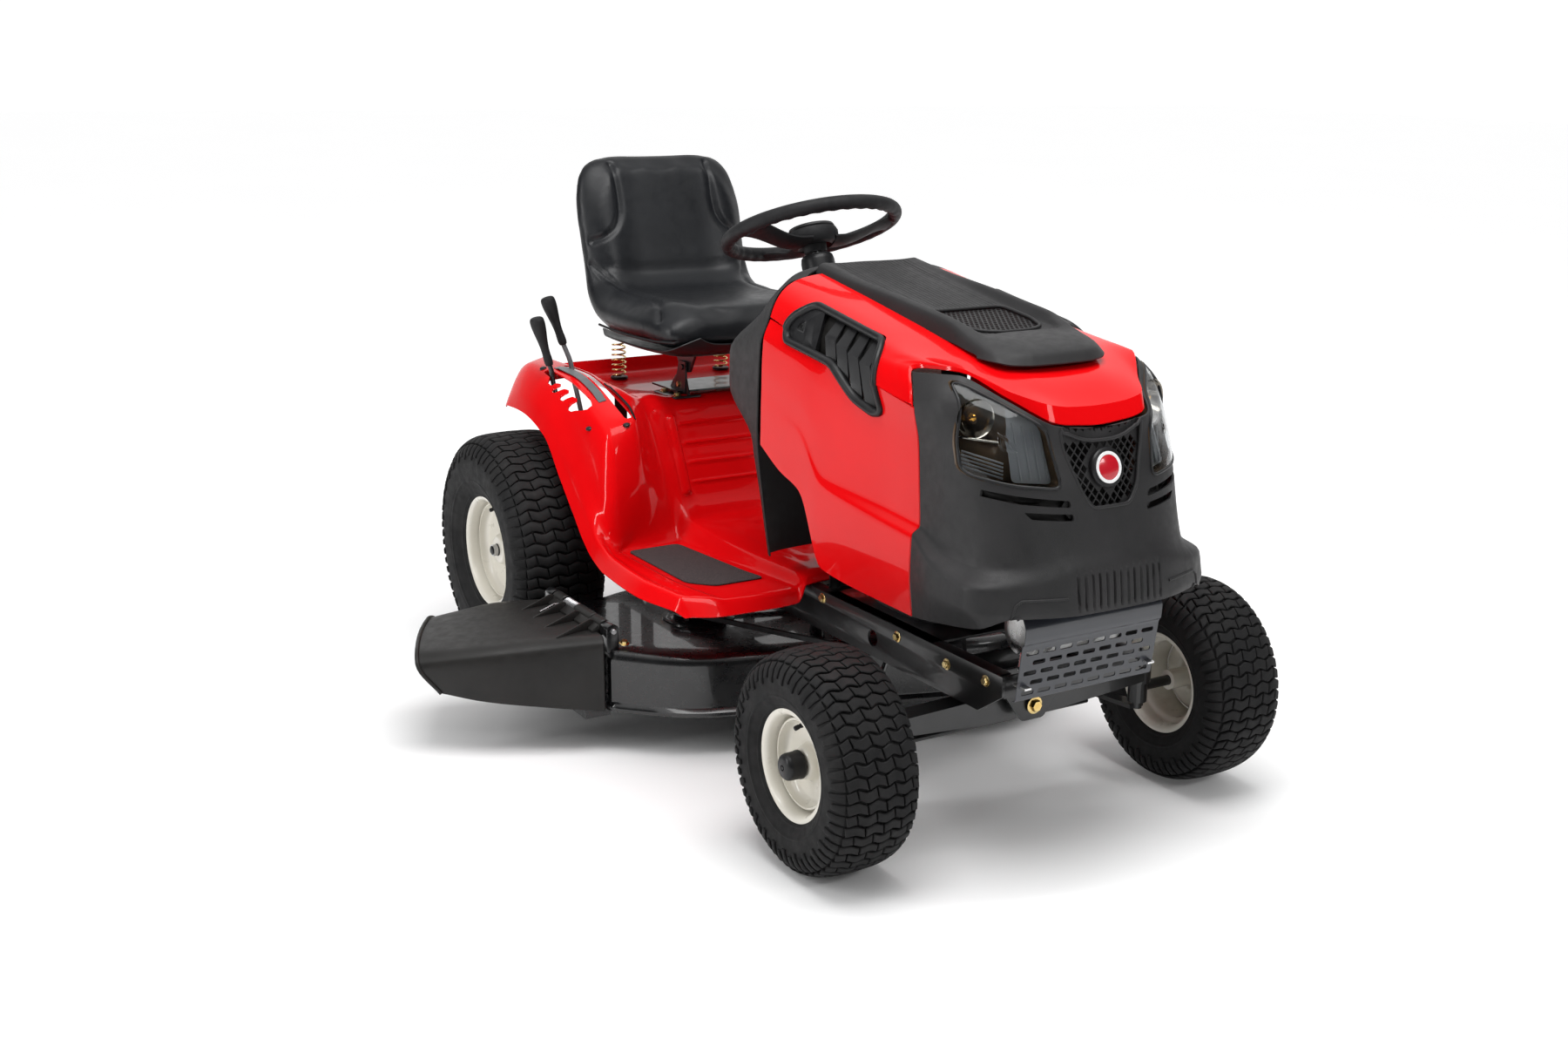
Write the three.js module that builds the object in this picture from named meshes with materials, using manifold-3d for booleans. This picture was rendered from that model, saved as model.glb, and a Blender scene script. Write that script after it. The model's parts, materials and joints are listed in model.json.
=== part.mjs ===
// Riding lawn mower: a tractor chassis with a tilting hood, a floating mowing deck and steered front wheels.
// Millimetres. +X is the operator's left, -Y is forward, +Z is up. Shapes are laid out from the point on
// the ground under the rear axle and the whole group is then moved to its own bottom centre.
import * as THREE from 'three';
import Module from 'manifold-3d';
import { mergeVertices } from 'three/addons/utils/BufferGeometryUtils.js';

const wasm = await Module();
wasm.setup();

// Driving dimensions
const GAP = 0.4;
const WHEELBASE = 1240;
const REAR = { radius: 254, width: 203, rim: 114, x: 407.5, tube: 32, shaft: 12.7 };
const FRONT = { radius: 190.5, width: 157, rim: 88, x: 398, shaft: 9.5 };
const KINGPIN = { x: 285, radius: 9.5, boss: 17, low: 150, bossLow: 203, bossHigh: 245, high: 262 };
const ARM = { x: 40, y: 85, thick: 8 };
const TIE = { y: 100, x: 22, z: 140 };
const RAIL = { x: 150, thick: 5, low: 258, high: 335, front: -1395, back: 150 };
const AXLE_PIVOT_Z = 226;
const DECK = { top: 205, low: 88, wall: 4, radius: 255, skirt: 250 };
const SPINDLE_R = { x: -235, y: -500 };
const SPINDLE_L = { x: 235, y: -660 };
const CRANK = { x: 0, y: -1010 };
const PULLEY = { low: 219, high: 237, radius: 58, crank: 50 };
const BELT = { low: 223.2, high: 232.8 };
const BLADE = { length: 486, width: 58, thick: 5, z: 122 };
const HINGE = { x: -476, z: 243 };
const WHEEL = { y: -538, z: 975, radius: 167, tube: 14, tilt: 0.4 };
const SECTOR = { y: -911, z: 262, thick: 8, pitch: 90, teeth: 60 };
const PINION = { y: -806, pitch: 15, teeth: 10, low: 263, high: 273 };
const MODULE_MM = 3;
const SKIN = 4;
const SEAT_PIVOT = { y: -188, z: 656 };
const ROUND = 16;
const TYRE_SIDES = 24;
const RIM_SIDES = 16;
const BEAD_GAP = 1.2;
const TIDY = 0.15;

const finish = (color, roughness, metalness, extra = {}) => (
  new THREE.MeshStandardMaterial({ color, roughness, metalness, ...extra })
);
const MATERIALS = {
  redPaint: finish(0xd40a12, 0.25, 0.1),
  blackPlastic: finish(0x1b1c1e, 0.6, 0),
  blackPaint: finish(0x121315, 0.3, 0.3),
  frameSteel: finish(0x17181a, 0.45, 0.4),
  castMetal: finish(0x8f9296, 0.5, 0.8),
  steel: finish(0xa8abad, 0.35, 0.9),
  zincSteel: finish(0xb89a5a, 0.35, 0.9),
  rubber: finish(0x141414, 0.85, 0),
  rimPaint: finish(0xdedad0, 0.35, 0.1),
  vinyl: finish(0x17181b, 0.45, 0),
  grip: finish(0x2b2a2c, 0.95, 0),
  guard: finish(0x30343d, 0.4, 0.4),
  tank: finish(0xe6e4da, 0.5, 0),
  lens: finish(0xdfe6ea, 0.05, 0, { transparent: true, opacity: 0.35 }),
};

// Solids and geometry

function sealed(points, faces) {
  const geometry = new THREE.BufferGeometry();
  let volume = 0;
  const a = new THREE.Vector3();
  const b = new THREE.Vector3();
  const c = new THREE.Vector3();
  for (const [i, j, k] of faces) {
    a.fromArray(points[i]);
    b.fromArray(points[j]);
    c.fromArray(points[k]);
    volume += a.dot(b.cross(c));
  }
  const index = faces.flatMap(([i, j, k]) => (volume < 0 ? [i, k, j] : [i, j, k]));
  geometry.setAttribute('position', new THREE.Float32BufferAttribute(points.flat(), 3));
  geometry.setIndex(index);
  return geometry;
}

function toSolid(geometry) {
  const bare = geometry.clone();
  bare.deleteAttribute('normal');
  bare.deleteAttribute('uv');
  const merged = mergeVertices(bare, 1e-4);
  const index = merged.index.array;
  const faces = [];
  for (let i = 0; i < index.length; i += 3) {
    const [a, b, c] = index.slice(i, i + 3);
    if (a !== b && b !== c && a !== c) faces.push(a, b, c);
  }
  return new wasm.Manifold(new wasm.Mesh({
    numProp: 3,
    vertProperties: new Float32Array(merged.attributes.position.array),
    triVerts: new Uint32Array(faces),
  }));
}

function toGeometry(solid) {
  const mesh = solid.asOriginal().simplify(TIDY).getMesh();
  const points = [];
  for (let i = 0; i < mesh.vertProperties.length; i += mesh.numProp) {
    points.push(...mesh.vertProperties.slice(i, i + 3));
  }
  const geometry = new THREE.BufferGeometry();
  geometry.setAttribute('position', new THREE.Float32BufferAttribute(points, 3));
  geometry.setIndex([...mesh.triVerts]);
  return geometry;
}

const join = (...geometries) => (
  toGeometry(geometries.map(toSolid).reduce((whole, next) => whole.add(next)))
);
const cut = (body, ...tools) => (
  toGeometry(tools.map(toSolid).reduce((left, next) => left.subtract(next), toSolid(body)))
);
const common = (a, b) => toGeometry(toSolid(a).intersect(toSolid(b)));

function mirrored(geometry) {
  const copy = geometry.index ? geometry.clone() : mergeVertices(geometry.clone(), 1e-4);
  copy.deleteAttribute('normal');
  copy.deleteAttribute('uv');
  copy.scale(-1, 1, 1);
  const index = [...copy.index.array];
  for (let i = 0; i < index.length; i += 3) [index[i], index[i + 1]] = [index[i + 1], index[i]];
  copy.setIndex(index);
  return copy;
}

function box(low, high) {
  const size = high.map((v, i) => v - low[i]);
  const geometry = new THREE.BoxGeometry(...size);
  return geometry.translate(...low.map((v, i) => v + size[i] / 2));
}

// A cylinder or cone from one point to another.
function rod(from, to, radius, endRadius = radius, sides = ROUND) {
  const a = new THREE.Vector3(...from);
  const b = new THREE.Vector3(...to);
  const axis = b.clone().sub(a);
  const geometry = new THREE.CylinderGeometry(endRadius, radius, axis.length(), sides);
  const turn = new THREE.Quaternion().setFromUnitVectors(
    new THREE.Vector3(0, 1, 0), axis.clone().normalize(),
  );
  geometry.applyQuaternion(turn);
  return geometry.translate(...a.add(b).multiplyScalar(0.5).toArray());
}

// A profile of [radius, height] turned about the Z axis; it ends on the axis or closes on itself.
function turned(profile, sides = ROUND) {
  const points = [];
  const rings = profile.map(([r, h]) => {
    const first = points.length;
    if (r === 0) {
      points.push([0, 0, h]);
      return Array(sides).fill(first);
    }
    for (let i = 0; i < sides; i += 1) {
      const angle = (i * 2 * Math.PI) / sides;
      points.push([r * Math.cos(angle), r * Math.sin(angle), h]);
    }
    return Array.from({ length: sides }, (_, i) => first + i);
  });
  const onAxis = profile[0][0] === 0;
  const pairs = rings.slice(1).map((ring, i) => [rings[i], ring]);
  if (!onAxis) pairs.push([rings[rings.length - 1], rings[0]]);
  const faces = pairs.flatMap(([low, high]) => strip(low, high, true));
  return sealed(points, faces);
}

function strip(low, high, wrap = false) {
  const faces = [];
  const count = wrap ? low.length : low.length - 1;
  for (let i = 0; i < count; i += 1) {
    const j = (i + 1) % low.length;
    if (low[i] !== low[j]) faces.push([low[i], low[j], high[j]]);
    if (high[i] !== high[j]) faces.push([low[i], high[j], high[i]]);
  }
  return faces;
}

// Closed rings of points joined in order, with a fan across each end.
function loft(rings) {
  const points = rings.flat();
  const count = rings[0].length;
  const rows = rings.map((_, i) => Array.from({ length: count }, (__, j) => i * count + j));
  const faces = rows.slice(1).flatMap((row, i) => strip(rows[i], row, true));
  for (const [row, flip] of [[rows[0], true], [rows[rows.length - 1], false]]) {
    const centre = [0, 1, 2].map((k) => row.reduce((sum, i) => sum + points[i][k], 0) / count);
    const hub = points.push(centre) - 1;
    row.forEach((i, j) => {
      const next = row[(j + 1) % count];
      faces.push(flip ? [hub, next, i] : [hub, i, next]);
    });
  }
  return sealed(points, faces);
}

function gridNormals(grid) {
  const at = (i, j) => new THREE.Vector3(...grid[i][j]);
  const rows = grid.length;
  const columns = grid[0].length;
  return grid.map((row, i) => row.map((_, j) => {
    const along = at(Math.min(i + 1, rows - 1), j).sub(at(Math.max(i - 1, 0), j));
    const across = at(i, Math.min(j + 1, columns - 1)).sub(at(i, Math.max(j - 1, 0)));
    return along.cross(across).normalize();
  }));
}

// A sheet behind a grid of points. A negative thickness grows it the other way, and lift moves it outwards.
function shell(grid, thickness, lift = 0) {
  const normals = gridNormals(grid);
  const rows = grid.length;
  const columns = grid[0].length;
  const points = [];
  for (const offset of [lift, lift - thickness]) {
    grid.forEach((row, i) => row.forEach((p, j) => {
      points.push(p.map((v, k) => v + offset * normals[i][j].getComponent(k)));
    }));
  }
  const id = (side, i, j) => side * rows * columns + i * columns + j;
  const faces = [];
  const line = (side, i) => Array.from({ length: columns }, (_, j) => id(side, i, j));
  for (let i = 0; i + 1 < rows; i += 1) {
    faces.push(...strip(line(0, i), line(0, i + 1)));
    faces.push(...strip(line(1, i + 1), line(1, i)));
  }
  const rim = [
    ...line(0, 0),
    ...Array.from({ length: rows - 1 }, (_, i) => id(0, i + 1, columns - 1)),
    ...line(0, rows - 1).reverse().slice(1),
    ...Array.from({ length: rows - 2 }, (_, i) => id(0, rows - 2 - i, 0)),
  ];
  faces.push(...strip(rim.map((i) => i + rows * columns), rim, true));
  return sealed(points, faces);
}

// A half grid given for +X, from the centre outwards, completed with its mirror image.
const bothSides = (half) => half.map((row) => [
  ...row.slice(1).reverse().map(([x, y, z]) => [-x, y, z]),
  ...row,
]);

// A flat outline pushed along one axis, from one coordinate to another.
function prism(outline, axis, from, to) {
  const shape = new THREE.Shape(outline.map(([a, b]) => new THREE.Vector2(a, b)));
  const geometry = new THREE.ExtrudeGeometry(shape, { depth: to - from, bevelEnabled: false });
  geometry.translate(0, 0, from);
  const frames = {
    x: [[0, 1, 0], [0, 0, 1], [1, 0, 0]],
    y: [[0, 0, 1], [1, 0, 0], [0, 1, 0]],
    z: [[1, 0, 0], [0, 1, 0], [0, 0, 1]],
  };
  const basis = frames[axis].map((v) => new THREE.Vector3(...v));
  return geometry.applyMatrix4(new THREE.Matrix4().makeBasis(...basis));
}

// A round bar along a smooth curve through the points.
function bar(path, radius, steps, sides = 8) {
  const curve = new THREE.CatmullRomCurve3(path.map((p) => new THREE.Vector3(...p)));
  const ring = Array.from({ length: sides }, (_, i) => {
    const angle = (i * 2 * Math.PI) / sides;
    return new THREE.Vector2(radius * Math.cos(angle), radius * Math.sin(angle));
  });
  return new THREE.ExtrudeGeometry(new THREE.Shape(ring), { steps, extrudePath: curve });
}

const ellipse = (centre, a, b, sides, power = 2) => Array.from({ length: sides }, (_, i) => {
  const angle = (i * 2 * Math.PI) / sides;
  const squared = (v) => Math.sign(v) * Math.abs(v) ** (2 / power);
  return [centre[0] + a * squared(Math.cos(angle)), centre[1] + b * squared(Math.sin(angle))];
});

// Chassis

function railPair() {
  const plate = box(
    [RAIL.x - RAIL.thick / 2, RAIL.front, RAIL.low],
    [RAIL.x + RAIL.thick / 2, RAIL.back, RAIL.high],
  );
  const flange = box([RAIL.x - 26, RAIL.front, RAIL.high - RAIL.thick], [RAIL.x, RAIL.back, RAIL.high]);
  const side = join(plate, flange);
  return join(side, mirrored(side), crossMembers());
}

function crossMembers() {
  const half = RAIL.x;
  const front = box([-half, RAIL.front, RAIL.low], [half, RAIL.front + RAIL.thick, RAIL.high]);
  const back = box([-half, RAIL.back - RAIL.thick, RAIL.low], [half, RAIL.back, RAIL.high]);
  const enginePlate = box([-half, -1190, RAIL.high - RAIL.thick], [half, -850, RAIL.high]);
  const sectorPlate = box([-half, -945, 282], [half, -875, 286]);
  const middle = box([-half, -420, 300], [half, -340, 304]);
  const hitch = box([-44, RAIL.back - RAIL.thick, RAIL.low], [44, RAIL.back + 52, RAIL.low + 6]);
  return join(front, back, enginePlate, sectorPlate, middle, hitch);
}

function axleHanger(y) {
  const face = prism([
    [RAIL.low + 10, -70], [RAIL.low + 10, 70], [AXLE_PIVOT_Z - 28, 24], [AXLE_PIVOT_Z - 28, -24],
  ], 'y', y - 3, y + 3);
  const flange = box([-RAIL.x, y - 3, RAIL.low], [RAIL.x, y + 3, RAIL.low + 30]);
  return join(face, flange);
}

function dashTower() {
  const post = box([104, -826, RAIL.high - 4], [128, -802, 862]);
  const tie = box([-116, -822, 850], [116, -806, 862]);
  const foot = box([104, -826, RAIL.high - RAIL.thick], [RAIL.x, -802, RAIL.high]);
  const side = join(post, foot);
  return join(side, mirrored(side), tie);
}

function seatTower() {
  const post = box([118, -60, RAIL.high - 4], [148, 60, 566]);
  const top = box([-148, -60, 560], [148, 60, 566]);
  return join(post, mirrored(post), top);
}

function chassisFrame() {
  const frame = join(
    railPair(), axleHanger(-WHEELBASE - 45), axleHanger(-WHEELBASE + 45), dashTower(), seatTower(),
  );
  const pivotPin = rod([0, -WHEELBASE - 52, AXLE_PIVOT_Z], [0, -WHEELBASE + 52, AXLE_PIVOT_Z], 11);
  const axleBore = rod([-200, 0, REAR.radius], [200, 0, REAR.radius], REAR.tube + 1);
  const crankHole = rod([0, CRANK.y, 320], [0, CRANK.y, 340], 30);
  const sectorPin = rod([0, SECTOR.y, SECTOR.z - 4], [0, SECTOR.y, 283], 8);
  return cut(join(frame, pivotPin, sectorPin), axleBore, crankHole);
}

function transaxle() {
  const housing = loft([-112, -96, 96, 112].map((x) => {
    const inset = Math.abs(x) > 100 ? 14 : 0;
    return ellipse([0, 262], 96 - inset, 72 - inset, 12, 3).map(([y, z]) => [x, y, z]);
  }));
  const tube = rod([-297, 0, REAR.radius], [297, 0, REAR.radius], REAR.tube);
  const input = rod([0, -30, 300], [0, -30, 352], 14);
  const pulley = rod([0, -30, 338], [0, -30, 352], 60);
  const bores = [1, -1].map((s) => (
    rod([s * 240, 0, REAR.radius], [s * 300, 0, REAR.radius], REAR.shaft + 0.6)
  ));
  return cut(join(housing, tube, input, pulley), ...bores);
}

function engineBlock() {
  const base = loft([RAIL.high + GAP, 350, 440, 452].map((z, i) => {
    const inset = i === 0 || i === 3 ? 12 : 0;
    return ellipse([0, -1010], 118 - inset, 128 - inset, 16, 3.2).map(([x, y]) => [x, y, z]);
  }));
  const head = box([-52, -1190, 352], [52, -1110, 440]);
  const carb = box([60, -960, 372], [140, -905, 430]);
  return join(base, head, carb);
}

function engineShroud() {
  const cover = turned([
    [0, 452 + GAP], [132, 452 + GAP], [138, 462], [136, 520], [122, 548], [92, 560], [88, 574],
    [40, 580], [0, 580],
  ]);
  const snorkel = box([-96, 96, 456], [96, 150, 524]);
  return join(cover, snorkel).translate(0, -1010, 0);
}

function muffler() {
  const can = loft([-112, -100, 100, 112].map((x) => {
    const inset = Math.abs(x) > 104 ? 8 : 0;
    return ellipse([-1346, 392], 46 - inset, 42 - inset, 14, 2.4).map(([y, z]) => [x, y, z]);
  }));
  const pipe = rod([0, -1304, 396], [0, -1190 - GAP, 396], 14, 14, 12);
  return join(can, pipe);
}

function mufflerGuard() {
  const plate = prism([[-1423, 299], [-1420, 299], [-1441, 427], [-1444, 427]], 'x', -145, 145);
  const cheek = prism(
    [[-1423, 299], [-1400, 299], [-1400, 427], [-1444, 427]], 'x', 142, 145,
  );
  const body = join(plate, cheek, mirrored(cheek));
  const slots = [];
  for (let row = 0; row < 4; row += 1) {
    for (let column = 0; column < 4; column += 1) {
      const x = -128 + column * 66;
      const z = 322 + row * 25;
      slots.push(box([x, -1460, z], [x + 52, -1405, z + 7]));
    }
  }
  return cut(body, ...slots);
}

function fuelTank() {
  return loft([640, 654, 806, 820].map((z, i) => {
    const inset = i === 0 || i === 3 ? 14 : 0;
    return ellipse([0, -838], 96 - inset, 34 - inset, 16, 4).map(([x, y]) => [x, y, z]);
  }));
}

// Fender, running from the raised rear edge over the seat platform, down the riser and along the footboards.
// Each line runs from the centre outwards.
const FENDER = [
  [[0, 160, 590], [140, 160, 590], [188, 160, 590], [218, 158, 588], [258, 152, 586],
    [300, 130, 580], [345, 100, 575], [385, 97, 560], [392, 97, 548]],
  [[0, 155, 622], [140, 155, 622], [188, 155, 622], [218, 152, 622], [258, 146, 624],
    [300, 122, 636], [345, 95, 632], [386, 92, 572], [394, 92, 552]],
  [[0, 128, 590], [140, 128, 590], [188, 128, 592], [218, 126, 598], [258, 118, 622],
    [300, 90, 650], [345, 50, 648], [388, 20, 592], [398, 20, 556]],
  [[0, -60, 590], [140, -60, 590], [188, -60, 592], [218, -60, 598], [258, -80, 630],
    [300, -110, 650], [345, -130, 640], [390, -125, 566], [402, -125, 528]],
  [[0, -200, 597], [140, -200, 597], [186, -205, 607], [216, -215, 604], [258, -240, 616],
    [300, -290, 604], [348, -292, 592], [394, -225, 490], [408, -228, 446]],
  [[0, -223, 584], [140, -223, 584], [186, -236, 592], [216, -240, 588], [258, -284, 590],
    [300, -340, 580], [350, -344, 560], [398, -290, 440], [412, -292, 394]],
  [[0, -280, 488], [140, -280, 488], [186, -294, 490], [216, -304, 480], [258, -340, 480],
    [300, -370, 470], [354, -378, 456], [402, -350, 392], [418, -352, 352]],
  [[0, -335, 392], [140, -335, 392], [186, -352, 390], [218, -366, 346], [258, -374, 346],
    [318, -378, 346], [362, -396, 352], [406, -410, 358], [424, -412, 326]],
  [[0, -372, 374], [138, -372, 374], [184, -386, 370], [222, -390, 330], [262, -392, 330],
    [350, -394, 330], [370, -420, 338], [412, -470, 345], [432, -472, 318]],
  [[0, -580, 362], [126, -580, 362], [168, -586, 356], [204, -590, 330], [258, -600, 330],
    [350, -600, 330], [372, -610, 338], [420, -620, 342], [440, -620, 315]],
  [[0, -768, 354], [112, -770, 354], [152, -776, 350], [182, -784, 330], [240, -786, 330],
    [318, -784, 330], [350, -776, 336], [398, -756, 338], [414, -762, 314]],
  [[0, -790, 341], [112, -793, 341], [164, -798, 339], [184, -802, 308], [240, -804, 306],
    [300, -802, 306], [346, -794, 306], [398, -774, 306], [408, -776, 304]],
];

function fenderBody() {
  const sheet = shell(bothSides(FENDER), SKIN);
  const liftSlot = box([-388, -318, 440], [-358, -92, 700]);
  const speedSlot = box([-352, -394, 430], [-330, -66, 700]);
  const pedalSlot = box([236, -776, 300], [256, -712, 360]);
  return cut(sheet, liftSlot, speedSlot, pedalSlot);
}

function footMat(side) {
  const outline = [[-338, -404], [-232, -404], [-208, -640], [-202, -706], [-302, -706], [-338, -650]];
  const mat = prism(outline, 'z', 330 + GAP, 333);
  return side < 0 ? mat : mirrored(mat);
}

// Dash, as plan curves from the hood joint at the side round to the rear, from bottom to top.
const DASH = [
  [[0, -672, 606], [120, -674, 606], [196, -690, 606], [232, -712, 606], [238, -738, 607]],
  [[0, -582, 702], [120, -584, 702], [198, -592, 702], [234, -632, 702], [240, -744, 702]],
  [[0, -580, 762], [120, -582, 762], [198, -592, 762], [234, -634, 762], [241, -752, 788]],
  [[0, -655, 862], [120, -662, 860], [188, -692, 856], [220, -724, 846], [228, -760, 842]],
  [[0, -694, 918], [100, -702, 914], [160, -724, 906], [188, -742, 898], [204, -760, 892]],
  [[0, -716, 931], [90, -722, 928], [140, -736, 922], [160, -746, 916], [172, -760, 910]],
  [[0, -742, 934], [90, -742, 932], [128, -746, 920], [140, -752, 914], [150, -762, 908]],
];

const columnPoint = (t) => [0, WHEEL.y - t * Math.sin(WHEEL.tilt), WHEEL.z - t * Math.cos(WHEEL.tilt)];

function dashPanel() {
  const skin = shell(bothSides(DASH), SKIN);
  const columnHole = rod(columnPoint(40), columnPoint(240), 42);
  const throttleSlot = box([-117, -680, 775], [-107, -560, 850]);
  const keyHole = rod(onFace(112, 0, -40), onFace(112, 0, 40), 9);
  return cut(skin, columnHole, throttleSlot, keyHole);
}

function steeringColumn() {
  const sleeve = turned([
    [15, -232], [41, -232], [41, -170], [34, -150], [33, -62], [28, -54], [15, -54],
  ]);
  sleeve.rotateX(-WHEEL.tilt);
  return sleeve.translate(0, WHEEL.y, WHEEL.z);
}

function seatBracket() {
  const base = box([-118, -190, 601], [118, -70, 605]);
  const ear = prism([[-200, 601], [-150, 601], [-172, 668], [-202, 668]], 'x', 100, 105);
  const hole = rod([90, SEAT_PIVOT.y, SEAT_PIVOT.z], [115, SEAT_PIVOT.y, SEAT_PIVOT.z], 6.5);
  const drilled = cut(ear, hole);
  return join(base, drilled, mirrored(drilled));
}

function seatSpring(side) {
  const turns = 4;
  const steps = 32;
  const path = Array.from({ length: steps + 1 }, (_, i) => {
    const angle = (i / steps) * turns * 2 * Math.PI;
    const reach = 16;
    const rise = 594.5 + (i / steps) * 82;
    return [side * 130 + reach * Math.cos(angle), 70 + reach * Math.sin(angle), rise];
  });
  return bar(path, 2.4, steps, 4);
}

// Hood

const HOOD = [
  [[0, -767, 922], [0, -1000, 884], [0, -1200, 848], [0, -1335, 818], [0, -1424, 748]],
  [[60, -767, 922], [60, -1000, 884], [60, -1200, 848], [58, -1335, 817], [50, -1423, 751]],
  [[116, -767, 920], [118, -1000, 882], [118, -1200, 845], [112, -1325, 815], [92, -1420, 758]],
  [[160, -767, 914], [166, -1000, 876], [170, -1180, 842], [164, -1270, 826], [138, -1354, 792]],
  [[188, -767, 903], [194, -1000, 865], [199, -1160, 840], [196, -1235, 832], [184, -1288, 827]],
  [[207, -767, 886], [214, -1000, 849], [218, -1130, 828], [219, -1180, 820], [214, -1203, 822]],
  [[219, -767, 866], [228, -1000, 828], [232, -1130, 806], [233, -1190, 796], [230, -1224, 796]],
  [[226, -767, 847], [236, -1000, 807], [239, -1130, 785], [239, -1200, 774], [238, -1241, 768]],
];

function hoodTop() {
  const stations = HOOD[0].map((_, j) => HOOD.map((line) => line[j]));
  return shell(bothSides(stations), SKIN);
}

const PANEL = {
  y: [-752, -820, -889, -967, -1071, -1160, -1243],
  low: [609, 574, 551, 424, 415, 413, 412],
  steps: [0, 0.16, 0.36, 0.56, 0.61, 0.8, 1],
  rear: [227, 240, 241, 240, 240, 239, 238],
  front: [238, 228, 224, 221, 237, 239, 233],
};
const seamHeight = (y) => 847 + (y + 767) * 0.1665;
const ease = (value) => {
  const t = Math.min(1, Math.max(0, value));
  return t * t * (3 - 2 * t);
};

function hoodSide(side) {
  const grid = PANEL.y.map((y, i) => PANEL.steps.map((step, j) => {
    const top = seamHeight(Math.min(y, -767)) - 5;
    const blend = ease((-y - 850) / 350);
    const x = PANEL.rear[j] * (1 - blend) + PANEL.front[j] * blend;
    const lean = y === PANEL.y[0] ? -16 * (1 - step) : 0;
    return [-x, y + lean, top + (PANEL.low[i] - top) * step];
  }));
  const panel = shell(grid, -SKIN);
  return side < 0 ? panel : mirrored(panel);
}

function hoodCap() {
  const lines = [
    [[0, -748, 936], [60, -748, 936], [104, -748, 934], [121, -750, 929]],
    [[0, -1000, 896], [60, -1000, 896], [106, -1000, 894], [124, -1000, 888]],
    [[0, -1240, 857], [60, -1238, 857], [106, -1232, 855], [124, -1226, 849]],
    [[0, -1312, 843], [56, -1308, 843], [98, -1292, 843], [117, -1280, 839]],
    [[0, -1330, 833], [58, -1326, 833], [104, -1306, 833], [120, -1288, 834]],
  ];
  return shell(bothSides(lines), 5);
}

// Bezel rows run from the top edge down, each from the centre out to the joint with the side panels.
const BEZEL = [
  [[0, -1429, 743], [46, -1429, 746], [95, -1427, 753], [141, -1361, 787], [188, -1295, 821],
    [204, -1263, 820], [218, -1210, 816]],
  [[0, -1436, 724], [48, -1434, 726], [98, -1428, 731], [166, -1378, 752], [212, -1325, 775],
    [231, -1290, 776], [238, -1245, 768]],
  [[0, -1446, 687], [46, -1444, 688], [94, -1440, 690], [165, -1408, 695], [212, -1350, 703],
    [226, -1300, 705], [227, -1247, 705]],
  [[0, -1457, 655], [46, -1456, 655], [92, -1451, 655], [160, -1425, 655], [208, -1365, 654],
    [224, -1305, 652], [224, -1247, 650]],
  [[0, -1469, 605], [46, -1467, 605], [92, -1462, 604], [160, -1437, 602], [208, -1375, 600],
    [222, -1310, 600], [222, -1247, 600]],
  [[0, -1483, 556], [46, -1481, 556], [93, -1475, 555], [160, -1450, 549], [211, -1386, 546],
    [224, -1315, 557], [221, -1247, 567]],
  [[0, -1495, 525], [46, -1493, 525], [94, -1489, 524], [180, -1462, 520], [247, -1398, 521],
    [251, -1325, 536], [237, -1247, 552]],
  [[0, -1502, 468], [46, -1501, 468], [92, -1498, 468], [190, -1468, 468], [248, -1412, 470],
    [255, -1330, 474], [239, -1248, 482]],
  [[0, -1502, 460], [46, -1501, 460], [92, -1498, 460], [188, -1466, 460], [232, -1430, 442],
    [246, -1335, 428], [234, -1250, 413]],
];
const LENS = [[199, 816], [214, 735], [212, 690], [165, 661], [95, 657], [105, 750], [150, 784]];

function bezelSkin() {
  return shell(bothSides(BEZEL), SKIN);
}

const lensOutline = (inset) => {
  const middle = LENS.reduce(([a, b], [x, z]) => [a + x / LENS.length, b + z / LENS.length], [0, 0]);
  return LENS.map(([x, z]) => {
    const reach = Math.hypot(x - middle[0], z - middle[1]);
    const scale = 1 - inset / reach;
    return [middle[1] + (z - middle[1]) * scale, middle[0] + (x - middle[0]) * scale];
  });
};

function frontBezel() {
  const lens = prism(lensOutline(0), 'y', -1500, -1262);
  const upper = prism([[626, 80], [626, 150], [638, 160], [638, 80]], 'y', -1500, -1380);
  const lower = prism([[606, 80], [606, 132], [616, 138], [616, 80]], 'y', -1500, -1380);
  const openings = [lens, upper, lower];
  return cut(bezelSkin(), ...openings, ...openings.map(mirrored));
}

function headlampLens(side) {
  const lens = common(bezelSkin(), prism(lensOutline(1.5), 'y', -1500, -1262));
  return side > 0 ? lens : mirrored(lens);
}

const VENT_ROWS = [
  [192, -767, 903], [208, -767, 886], [220, -767, 866], [228, -767, 846], [240, -767, 800],
  [241, -767, 740],
];
const VENT_OUTLINE = [
  [-822, 838], [-838, 860], [-878, 884], [-1096, 852], [-1118, 828], [-1146, 736], [-1080, 754],
  [-1000, 790], [-830, 812],
];

function sideVent(side) {
  const grid = [-800, -960, -1050, -1160].map((y) => VENT_ROWS.map(([x, , z], row) => {
    const run = -767 - y;
    const spread = [0.028, 0.034, 0.036, 0.03, 0.012, -0.02][row];
    return [-(x + spread * run), y, z - 0.1625 * run];
  }));
  const skin = shell(grid, 6, -1);
  const plate = common(skin, prism(VENT_OUTLINE, 'x', -300, -150));
  const slots = [0, 1, 2, 3].map((i) => {
    const y = -930 - i * 48;
    return prism([[y, 858 - i * 8], [y - 18, 855 - i * 8], [y - 30, 790 - i * 4], [y - 14, 796 - i * 8]],
      'x', -300, -150);
  });
  const vent = cut(plate, ...slots);
  return side < 0 ? vent : mirrored(vent);
}

// Steering

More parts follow.
